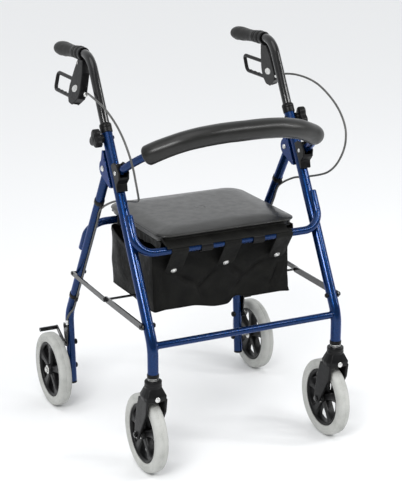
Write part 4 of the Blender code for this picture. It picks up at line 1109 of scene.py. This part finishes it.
def seat():
    """An upholstered pad: a rolled top edge over a plain side band that is pulled down round the board."""
    low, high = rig.box("seat_pad")
    board_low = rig.box("seat_base")[0].z
    outline = plan_outline(high.x + 0.0045, low.y - 0.0035, high.y + 0.0025, 0.030, 0.045, 0.005)
    roll_z = high.z - 0.0032
    rows = [(0.012, board_low + 0.0003), (0.0060, board_low + 0.0003), (0.0045, board_low + 0.0015),
            (0.0040, board_low + 0.006), (0.0038, roll_z - 0.0060), (0.0030, roll_z - 0.0040),
            (0.0006, roll_z - 0.0024), (0.0, roll_z), (0.0008, roll_z + 0.0022), (0.0034, roll_z + 0.0040),
            (0.012, roll_z + 0.0056)]
    middle = Vector((0, (low.y + high.y) / 2, 0))
    lines = [inset(outline, amount) for amount, _ in rows]
    crown = [(1 - k / 16, roll_z + 0.0056 + 0.0018 * math.sin(math.pi / 2 * k / 15)) for k in range(1, 16)]
    lines += [[middle.lerp(p, share) for p in lines[len(rows) - 1]] for share, _ in crown]
    pad = stacked(lines, [z for _, z in rows + crown])
    bmesh.ops.triangulate(pad, faces=[f for f in pad.faces if len(f.verts) > 4])
    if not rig.quick():
        pad = inflate(pad, lambda co: co.z < roll_z + 0.0036, 20, 4.0, 0.004)
        for vertex in pad.verts:
            vertex.co.z = min(vertex.co.z, high.z + 0.0085)
    cover = stand_in("seat_pad", pad, "seat_vinyl", sharp=180)
    cover.modifiers.new("soften", "SMOOTH").iterations = 2
    fine = cover.modifiers.new("fine", "SUBSURF")
    fine.levels = fine.render_levels = 1
    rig.padded(cover, fill=0.7)
    edge = [Vector((p.x, p.y, roll_z - 0.0002)) for p in inset(outline, 0.0004)]
    piping = sweep(edge, disc(0.0021), 12, closed=True, start_normal=Z_AXIS)
    piece("seat_piping", piping, "seat_vinyl", "seat", sharp=180)
    stitches([Vector((p.x, p.y, roll_z - 0.0066)) for p in inset(outline, 0.0036)])
    seat_board()
    for side, s in SIDES.items():
        side_apron(side, s, high.x, board_low)


def side_apron(side, s, half_x, board_low):
    """Loose cloth below each side of the seat, gathered into short folds."""
    bm, rows, columns = bmesh.new(), 8, 60
    grid = []
    for row in range(rows + 1):
        drop = row / rows
        line = []
        for column in range(columns + 1):
            y = -0.177 + 0.249 * column / columns
            fold = 0.0022 * math.sin(y * 210 + 2.2 * math.sin(y * 63 + s)) + 0.0012 * math.sin(y * 97)
            wave = 0.0025 * math.sin(y * 41 + 2 * s) + 0.0012 * math.sin(y * 130)
            length = 0.0200 + 0.0060 * smooth_step(-y, 0.13, 0.17) + wave
            x = s * (half_x - 0.0016 + fold * drop)
            line.append(bm.verts.new((x, y, board_low + 0.003 - length * drop)))
        grid.append(line)
    for a, b in zip(grid, grid[1:]):
        for i in range(columns):
            bm.faces.new((a[i], a[i + 1], b[i + 1], b[i]))
    apron = piece(f"seat_apron_{side}", bm, "bag_nylon", "seat", sharp=180)
    thick = apron.modifiers.new("thick", "SOLIDIFY")
    thick.thickness, thick.offset = 0.0010, 0
    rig.sheet(apron, flat=(0.253, 0.0215), held="gathered")


def stitches(edge):
    """A row of stitches round the side band, below the rolled edge."""
    bm = bmesh.new()
    line = evenly([*edge, edge[0]], 0.0042)
    for a, b in zip(line, line[1:]):
        along = (b - a).normalized()
        turn = along.to_track_quat("X", "Z").to_matrix().to_4x4()
        stitch = Matrix.Translation((a + b) / 2) @ turn @ Matrix.Diagonal((0.0014, 0.00045, 0.00045, 1))
        bmesh.ops.create_icosphere(bm, subdivisions=1, radius=1.0, matrix=stitch)
    piece("seat_stitches", bm, "bag_nylon", "seat", sharp=180)


def seat_board():
    """The moulded board under the pad, ribbed below, with a lip that rolls over the front tube."""
    crisp("seat_base", "black_plastic", 0.0015)
    low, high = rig.box("seat_base")
    along = [(x - 0.0012, x + 0.0012, low.y + 0.045, high.y - 0.030) for x in (-0.12, -0.04, 0.04, 0.12)]
    across = [(-0.150, 0.150, y - 0.0012, y + 0.0012) for y in (-0.10, -0.03, 0.04)]
    blocks = []
    for x_low, x_high, front, rear in along + across:
        bottom, top = low.z - 0.0022, low.z + 0.001
        blocks.append(extruded([(front, bottom), (rear, bottom), (rear, top), (front, top)], x_low, x_high))
    piece("seat_board_ribs", union(*blocks), "black_plastic", "seat")
    for side in SIDES:
        crisp(f"seat_clip_{side}", "black_plastic", 0.0010)
    tube, inner, outer = SEAT_AXIS.yz, 0.0125, 0.0143
    hem = [(low.y + 0.004, low.z + 0.0006), (low.y + 0.004, low.z + 0.0110), (low.y - 0.0005, low.z + 0.0095)]
    outline = [*arc(tube, inner, 149, 96, 12), *hem, *arc(tube, outer, 108, 147, 10),
               arc(tube, (inner + outer) / 2, 150, 150, 1)[0]]
    piece("seat_front_lip", extruded(outline, -0.170, 0.148), "bag_nylon", "seat", sharp=50)


# ---- bag

# Creases of the bag's front: where each starts and ends in (x, z), how wide it is and how deep.
CREASES = (
    (-0.128, 0.440, -0.060, 0.400, 0.010, 0.0060), (-0.010, 0.440, -0.060, 0.396, 0.010, 0.0065),
    (-0.060, 0.400, -0.052, 0.362, 0.009, 0.0050), (0.012, 0.445, 0.052, 0.412, 0.011, 0.0055),
    (0.126, 0.446, 0.060, 0.410, 0.011, 0.0055), (0.060, 0.412, 0.022, 0.372, 0.009, 0.0060),
    (0.150, 0.430, 0.128, 0.372, 0.008, 0.0060), (-0.160, 0.450, -0.150, 0.370, 0.007, 0.0035),
    (0.100, 0.400, 0.160, 0.372, 0.008, 0.0040),
)


def creased(x, z):
    """How far the creases set the front cloth back at a point."""
    depth = 0.0
    for x0, z0, x1, z1, width, most in CREASES:
        run = Vector((x1 - x0, z1 - z0))
        off = Vector((x - x0, z - z0))
        share = min(max(off.dot(run) / run.length_squared, 0), 1)
        away = (off - run * share).length
        depth += 1.7 * most * (0.4 + 0.6 * math.sin(math.pi * share)) * math.exp(-((1.3 * away / width) ** 2))
    return depth


def smooth_step(value, start, end):
    share = min(max((value - start) / (end - start), 0), 1)
    return share * share * (3 - 2 * share)


class BagForm:
    """Where the hung cloth lies: its walls belly out, its bottom edge is uneven and its floor lies on the
    cross rod."""

    def __init__(self, low, high):
        self.low, self.high, self.middle_y = low, high, (low.y + high.y) / 2

    def bottom(self, x, y):
        front = smooth_step(self.middle_y - y, 0.0, 0.10)
        hump = 0.0110 * smooth_step(x, -0.085, -0.015) * (1 - smooth_step(x, 0.010, 0.030))
        lift = 0.0070 * math.exp(-(((x - 0.036) / 0.020) ** 2))
        corners = 0.0030 * smooth_step(abs(x), 0.150, 0.184)
        return self.low.z - 0.0155 - corners - front * (hump - lift) + 0.003 * (1 - front)

    def floor(self, x, y, share):
        """share runs from 0 at the edge of the floor to 1 at its middle."""
        return self.bottom(x, y) * (1 - share) + (self.low.z - 0.0005) * share

    def wall(self, point, drop):
        """A point of the rim's outline carried down the wall by the share drop."""
        belly = math.sin(math.pi * min(drop * 0.92 + 0.04, 1))
        x, y = point.x, point.y
        side = smooth_step(abs(x), 0.176, 0.183)
        front = 1 - smooth_step(y, self.low.y + 0.001, self.low.y + 0.014)
        rear = smooth_step(y, self.high.y - 0.014, self.high.y - 0.001)
        sag = math.sin(math.pi * (y - self.low.y) / (self.high.y - self.low.y))
        rim = self.high.z + 0.009 - 0.029 * side * sag
        z = rim + (self.bottom(x, y) - rim) * drop
        near_tab = max(math.exp(-(((x - tab) / 0.030) ** 2)) for tab in (-TAB_X, 0, TAB_X))
        y -= front * (0.006 + 0.008 * near_tab * (1 - drop) + 0.006 * drop - creased(x, z) * belly)
        y += rear * 0.004 * belly * (1 + math.sin(x * 60))
        pinch = -0.019 * belly * (1 - 0.5 * rear) + 0.001 * drop**4 if x > 0 else 0.001 * belly - 0.002 * drop
        hollow = 0.004 * belly * math.sin((y - self.low.y) * 42)
        x += math.copysign(1, x) * side * (pinch + hollow)
        ripple = noise.noise_vector(Vector((x, y, z)) * 26) * 0.0026 * belly
        return Vector((x, y, z)) + ripple


def bag_shell(outline, form):
    """The bag's cloth as one sheet: rings down the walls, then rings in to the middle of the floor."""
    bm, floor_rings = bmesh.new(), 14
    drops = [row / BAG_ROWS for row in range(BAG_ROWS + 1)]
    rings = [[bm.verts.new(form.wall(point, drop)) for point in outline] for drop in drops]
    bottom = rings[-1]
    for k in range(1, floor_rings):
        share = k / floor_rings
        ring = []
        for x, y, _ in (vertex.co for vertex in bottom):
            z = form.floor(x, y, smooth_step(share, 0, 0.5))
            ring.append(bm.verts.new((x * (1 - share), form.middle_y + (y - form.middle_y) * (1 - share), z)))
        rings.append(ring)
    for a, b in zip(rings, rings[1:]):
        bridge(bm, a, b)
    fan(bm, bm.verts.new((0, form.middle_y, form.floor(0, form.middle_y, 1))), rings[-1])
    return bm


def bag(rear_tube_y):
    low, high = Vector((-0.184, -0.142, 0.3745)), Vector((0.184, 0.092, 0.4970))
    outline = plan_outline(high.x, low.y, high.y, 0.007, 0.007, 0.0042)
    bm, count = bag_shell(outline, BagForm(low, high)), len(outline)
    spots = [vertex.co.copy() for vertex in bm.verts]
    rows = [spots[row * count:(row + 1) * count] for row in range(BAG_ROWS + 1)]
    corners = [min(range(count), key=lambda i: (outline[i] - Vector((x, y, 0))).length)
               for x in (-high.x, high.x) for y in (low.y, high.y)]
    shell = piece("bag_cloth", bm, "bag_nylon", replaces=["bag"], sharp=180)
    thick = shell.modifiers.new("thick", "SOLIDIFY")
    thick.thickness, thick.offset = 0.0012, -1
    parts = [shell, bag_binding(rows[0])]
    for k, corner in enumerate(corners):
        line = smooth_route([row[corner] for row in rows], 0.004)
        parts.append(piece(f"bag_seam_{k}", rod(line, 0.0011, 0.0004, 10), "bag_nylon", sharp=180))
    bottom_line = smooth_route([*rows[-1], rows[-1][0]], 0.004)[:-1]
    bottom = sweep(bottom_line, disc(0.0011), 10, True, Z_AXIS)
    parts.append(piece("bag_bottom_seam", bottom, "bag_nylon", sharp=180))
    for part in parts:
        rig.blend(part, "front", "rear", start=(0, low.y, 0.45), end=(0, high.y, 0.45))
    bag_tabs(low, high, rear_tube_y)


def bag_binding(rim):
    """A folded tape along the rim."""
    line = [p - Z_AXIS * 0.0055 for p in smooth_route([*rim, rim[0]], 0.005)[:-1]]
    tape = sweep(line, flat_oval(0.013, 0.003), 16, True, Z_AXIS)
    return piece("bag_binding", tape, "bag_nylon", sharp=180)


def strap_line(tube_y, first, last):
    """From first, round the far side of a seat tube and back to last, as points of a ribbon's middle."""
    mid = SEAT_TUBE_R + 0.0006 + TAB_THICK / 2
    toward = 1 if first[0] < last[0] else -1
    heading, reach = [], []
    for point in (first, last):
        off_y, off_z = point[0] - tube_y, point[1] - SEAT_AXIS.z
        heading.append(math.degrees(math.atan2(off_z, off_y)))
        reach.append(math.degrees(math.acos(mid / math.hypot(off_y, off_z))))
    start, end = heading[0] - toward * reach[0], heading[1] + toward * reach[1]
    while toward * (start - end) < 0:
        start += toward * 360
    return [first, *arc((tube_y, SEAT_AXIS.z), mid, start, end, 16), last]


def ribbon(name, x, line, body):
    """Webbing: a flat strip along a (y, z) line whose free end is rounded in plan."""
    spacing = 0.0022
    points = evenly([Vector((x, y, z)) for y, z in line], spacing)
    oval, last = flat_oval(1.0, TAB_THICK), len(points) - 1

    def section(i, turn):
        along, across = oval(i, turn)
        left = (last - i) * spacing
        round_off = math.sqrt(1 - 0.93 * max(1 - left / 0.018, 0) ** 2)
        return along * TAB_WIDE * round_off, across

    return piece(name, sweep(points, section, 32), "bag_nylon", body, sharp=60)


def bag_tabs(low, high, rear_tube_y):
    """Three webbing loops to each seat tube. The front ones close with a snap."""
    front = strap_line(SEAT_AXIS.y, (low.y - 0.0100, high.z - 0.004), (low.y - 0.0165, SNAP_Z - 0.014))
    wall = high.y - 0.0015
    rear = strap_line(rear_tube_y, (wall - 0.0022, high.z - 0.015), (wall + 0.0022, high.z - 0.015))
    before, after = Vector(front[-2]), Vector(front[-1])
    down = (after - before).normalized()
    face = Vector((0, down.y, -down.x)) * (-1 if down.y > 0 else 1)
    ring = around(0, (3, 0.2), (7.4, 0.2), (7.6, 1), (7, 1.8), (6, 2), (5.2, 1.6), (3, 1.6))
    dome = around(0, (0, 0), (5.4, 0), (5.4, 1.4), (4.8, 2.6), (3.2, 3.6), (0, 4))
    for number, x in enumerate((-TAB_X, 0, TAB_X)):
        ribbon(f"bag_tab_front_{number}", x, front, "front")
        spot = Vector((x, *(after - down * 0.012))) + face * 0.0006
        piece(f"snap_ring_{number}", turned(ring, spot, face), "zinc_steel", "front")
        piece(f"snap_cap_{number}", turned(dome, spot, face), "zinc_steel", "front", sharp=60)
        ribbon(f"bag_tab_rear_{number}", x, rear, "rear")


# ---- folding braces and brakes

def cross_rod():
    rod_low, rod_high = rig.box("brace_cross_rod")
    middle = centre("brace_cross_rod")
    path = [(x, middle.y, middle.z) for x in (rod_low.x, rod_high.x)]
    stand_in("brace_cross_rod", rod(path, half_size("brace_cross_rod").z, 0.0005, 20), "black_paint")


def brace(side, s, x):
    """A side's two links, with the bolt heads outside them and the nuts inside the legs."""
    crisp(f"brace_front_link_{side}", "black_paint", 0.0007)
    crisp(f"brace_rear_link_{side}", "black_paint", 0.0007)
    first, joint, last = PIVOT["brace_front_turn"], PIVOT[f"brace_rear_{side}_turn"], rear_axis(x, 0.373)
    end = 1 if s > 0 else 0
    outer, rear_outer = (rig.box(f"brace_{name}_link_{side}")[end].x for name in ("front", "rear"))
    rear_body = f"brace_rear_{side}"
    for name, out, place, radius, height, body in (
            ("front", outer - s * 0.0004, first, 0.0052, 0.0030, "brace_front"),
            ("middle", rear_outer, joint, 0.0048, 0.0026, rear_body),
            ("rear", rear_outer, last, 0.0048, 0.0026, rear_body)):
        spot = Vector((out, place.y, place.z))
        rivet(f"brace_bolt_{name}_{side}", spot, (s, 0, 0), radius, body, "black_paint", height)
    nub = Vector((s * (LEG_X - FRONT_R + 0.0006), first.y, first.z))
    rivet(f"brace_nut_{side}", nub, (-s, 0, 0), 0.0060, "front", "black_plastic", 0.0060)
    inner = Vector((s * (LEG_X - REAR_R + 0.0006), last.y, last.z))
    rivet(f"brace_nut_rear_{side}", inner, (-s, 0, 0), 0.0055, "rear", "black_plastic", 0.0050)


def rear_brake(side, s, x):
    crisp(f"brake_bracket_{side}", "black_paint", 0.0006)
    crisp(f"brake_arm_{side}", "black_paint", 0.0005)
    pivot = PIVOT[f"brake_{side}_press"]
    spot = Vector((s * (abs(pivot.x) + 0.003), pivot.y, pivot.z))
    hexagon(f"brake_bolt_{side}", spot, (s, 0, 0), 0.0056, 0.0036, f"brake_{side}")


# ---- wheels and casters

def mirrored(profile):
    """A profile's points followed by the same points on the other side of its middle plane."""
    return profile + [(radius, -height) for radius, height in reversed(profile)]


def tyre_profile():
    """From the inner wall out over one shoulder, across the tread and back."""
    half, inner = half_size("front_tyre_left").x, 0.0715
    wall = [(inner + out, half * share) for out, share in (
        (0, 0.78), (0.0015, 0.86), (0.0040, 0.93), (0.0085, 0.985), (0.0095, 0.955), (0.0105, 0.985))]
    shoulder = [(WHEEL_R - 0.0085 + 0.0085 * math.sin(t) ** 0.9, half * (1 - 0.62 * (1 - math.cos(t))))
                for t in (math.pi / 2 * i / 7 for i in range(7))]
    tread = [(WHEEL_R - 0.00005, half * 0.34), (WHEEL_R, half * 0.20), (WHEEL_R, half * 0.03),
             (WHEEL_R - 0.0003, half * 0.012)]
    return mirrored(wall + shoulder + tread)


def spoke(turn):
    """A spoke that widens toward the rim, with rounded edges."""
    rings = []
    for z, half_x, half_y in ((0.0110, 0.0112, 0.0080), (0.022, 0.0104, 0.0088), (0.040, 0.0098, 0.0090),
                              (0.054, 0.0098, 0.0118), (0.0650, 0.0100, 0.0190)):
        ring = []
        for n in range(16):
            c, d = math.cos(math.pi * (n + 0.5) / 8), math.sin(math.pi * (n + 0.5) / 8)
            square = (abs(c) ** 5 + abs(d) ** 5) ** (-1 / 5)
            ring.append((half_x * c * square, half_y * d * square, z))
        rings.append(ring)
    bm = lofted(rings)
    bm.transform(Matrix.Rotation(turn, 4, X_AXIS))
    return bm


def hub_mesh():
    """A rim, five spokes and a boss as one moulding, centred at the origin with its axle on X."""
    rim = [(RIM_R, 0.0105), (RIM_R - 0.0012, 0.0118), (RIM_R - 0.0040, 0.0118), (RIM_R - 0.0062, 0.0100),
           (0.0632, 0.0086), (0.0626, 0.0070)]
    boss = around(0, (5, -17), (12.5, -17), (13.5, -16), (14.8, -8), (15.2, 0), (14.8, 8), (13.5, 16),
                  (12.5, 17), (5, 17))
    middle = (0, 0, 0)
    spokes = [spoke(2 * math.pi * k / 5) for k in range(5)]
    return union(turned(mirrored(rim), middle, X_AXIS, 80), turned(boss, middle, X_AXIS, 48), *spokes)


def wheels():
    hub = hub_mesh()
    seal = around(0, (4.2, 0), (11.2, 0), (11.2, 0.3), (10.4, 0.6), (5, 0.5))
    for end in ("front", "rear"):
        for side, s in SIDES.items():
            body = f"{end}_wheel_{side}"
            place = PIVOT[f"{body}_spin"]
            stand_in(f"{end}_tyre_{side}", turned(tyre_profile(), place, X_AXIS, 96), "grey_tyre", sharp=50)
            moved = hub.copy()
            moved.transform(Matrix.Translation(place))
            stand_in(f"{end}_hub_{side}", moved, "black_plastic", sharp=38)
            for face, hand in (("outer", s), ("inner", -s)):
                ring = turned(seal, place + X_AXIS * hand * 0.0170, (hand, 0, 0))
                piece(f"{end}_hub_seal_{face}_{side}", ring, "zinc_steel", body)
            axle(end, side, s, place)
    hub.free()


def axle(end, side, s, place):
    """The bolt through a wheel: a domed head inside, a washer and a hexagon nut outside."""
    node = f"{end}_axle_{side}"
    inner, outer = sorted(s * (corner.x - place.x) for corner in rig.box(node))
    head = around(0, (0, 0), (4.6, 0.3), (6.6, 1.6), (7, 3.4), (7, 4), (4, 4))
    tail = around(0, (4, -6), (8.6, -6), (8.6, -5), (3.5, -4.8), (3.5, -0.6), (2.8, 0), (0, 0))
    shaft = [(radius, inner + out) for radius, out in head] + [(radius, outer + out) for radius, out in tail]
    finish = "zinc_steel" if end == "rear" else "black_paint"
    stand_in(node, turned(shaft, place, (s, 0, 0), 36), finish)
    hexagon(f"{end}_axle_nut_{side}", place + X_AXIS * s * (outer - 0.0050), (s, 0, 0), 0.0068, 0.0040,
            BODY_OF[node], finish)


def caster(side, s, x):
    node, body = f"caster_fork_{side}", f"caster_{side}"
    top = Vector((x, STEM_Y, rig.box(node)[1].z))
    moulded(node, "black_plastic", voxel=0.0013, passes=6)
    cap = around(0, (8, -16), (19.8, -16), (20.3, -15), (20.3, -10), (19.6, -9.2), (19.6, -7.8), (20.1, -7),
                 (20.1, -1.4), (19.4, -0.3), (18.2, -0.1), (8, -0.1))
    piece(f"caster_cap_{side}", turned(cap, top, Z_AXIS, 48), "black_plastic", body)
    nose = top - Vector((0, 0.0236, 0.040))
    rivet(f"caster_rivet_{side}", nose, (0, -1, 0.05), 0.0064, body, height=0.0034)
    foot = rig.box(f"caster_stem_{side}")[0].z
    race = around(0, (0, 0), (11.8, 0), (12.5, 0.8), (12.5, 2.4), (11.8, 3), (9.8, 3.4))
    neck = around(0, (9.8, -1.6), (8, -1.4), (8, 10), (0, 10))
    stem = [(radius, foot + up) for radius, up in race] + [(radius, FRONT_FOOT_Z + up) for radius, up in neck]
    stand_in(f"caster_stem_{side}", turned(stem, (x, STEM_Y, 0), Z_AXIS), "zinc_steel")


# ---- the whole scene

camera()
studio()
cross_tube()
rear_tube_y = seat_tubes()
for side, s in SIDES.items():
    for build in (front_leg, rear_leg, hinge, handle_tube, hand_grip, brake_housing, lever_loop, knob,
                  brake_cable, brace, rear_brake, caster):
        build(side, s, s * LEG_X)
cross_rod()
backrest()
seat()
bag(rear_tube_y)
wheels()

with open("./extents.json", "w") as report:
    json.dump({"cad": [list(c) for c in CAD_BOX], "visual": [list(c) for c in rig.bounds()]}, report)
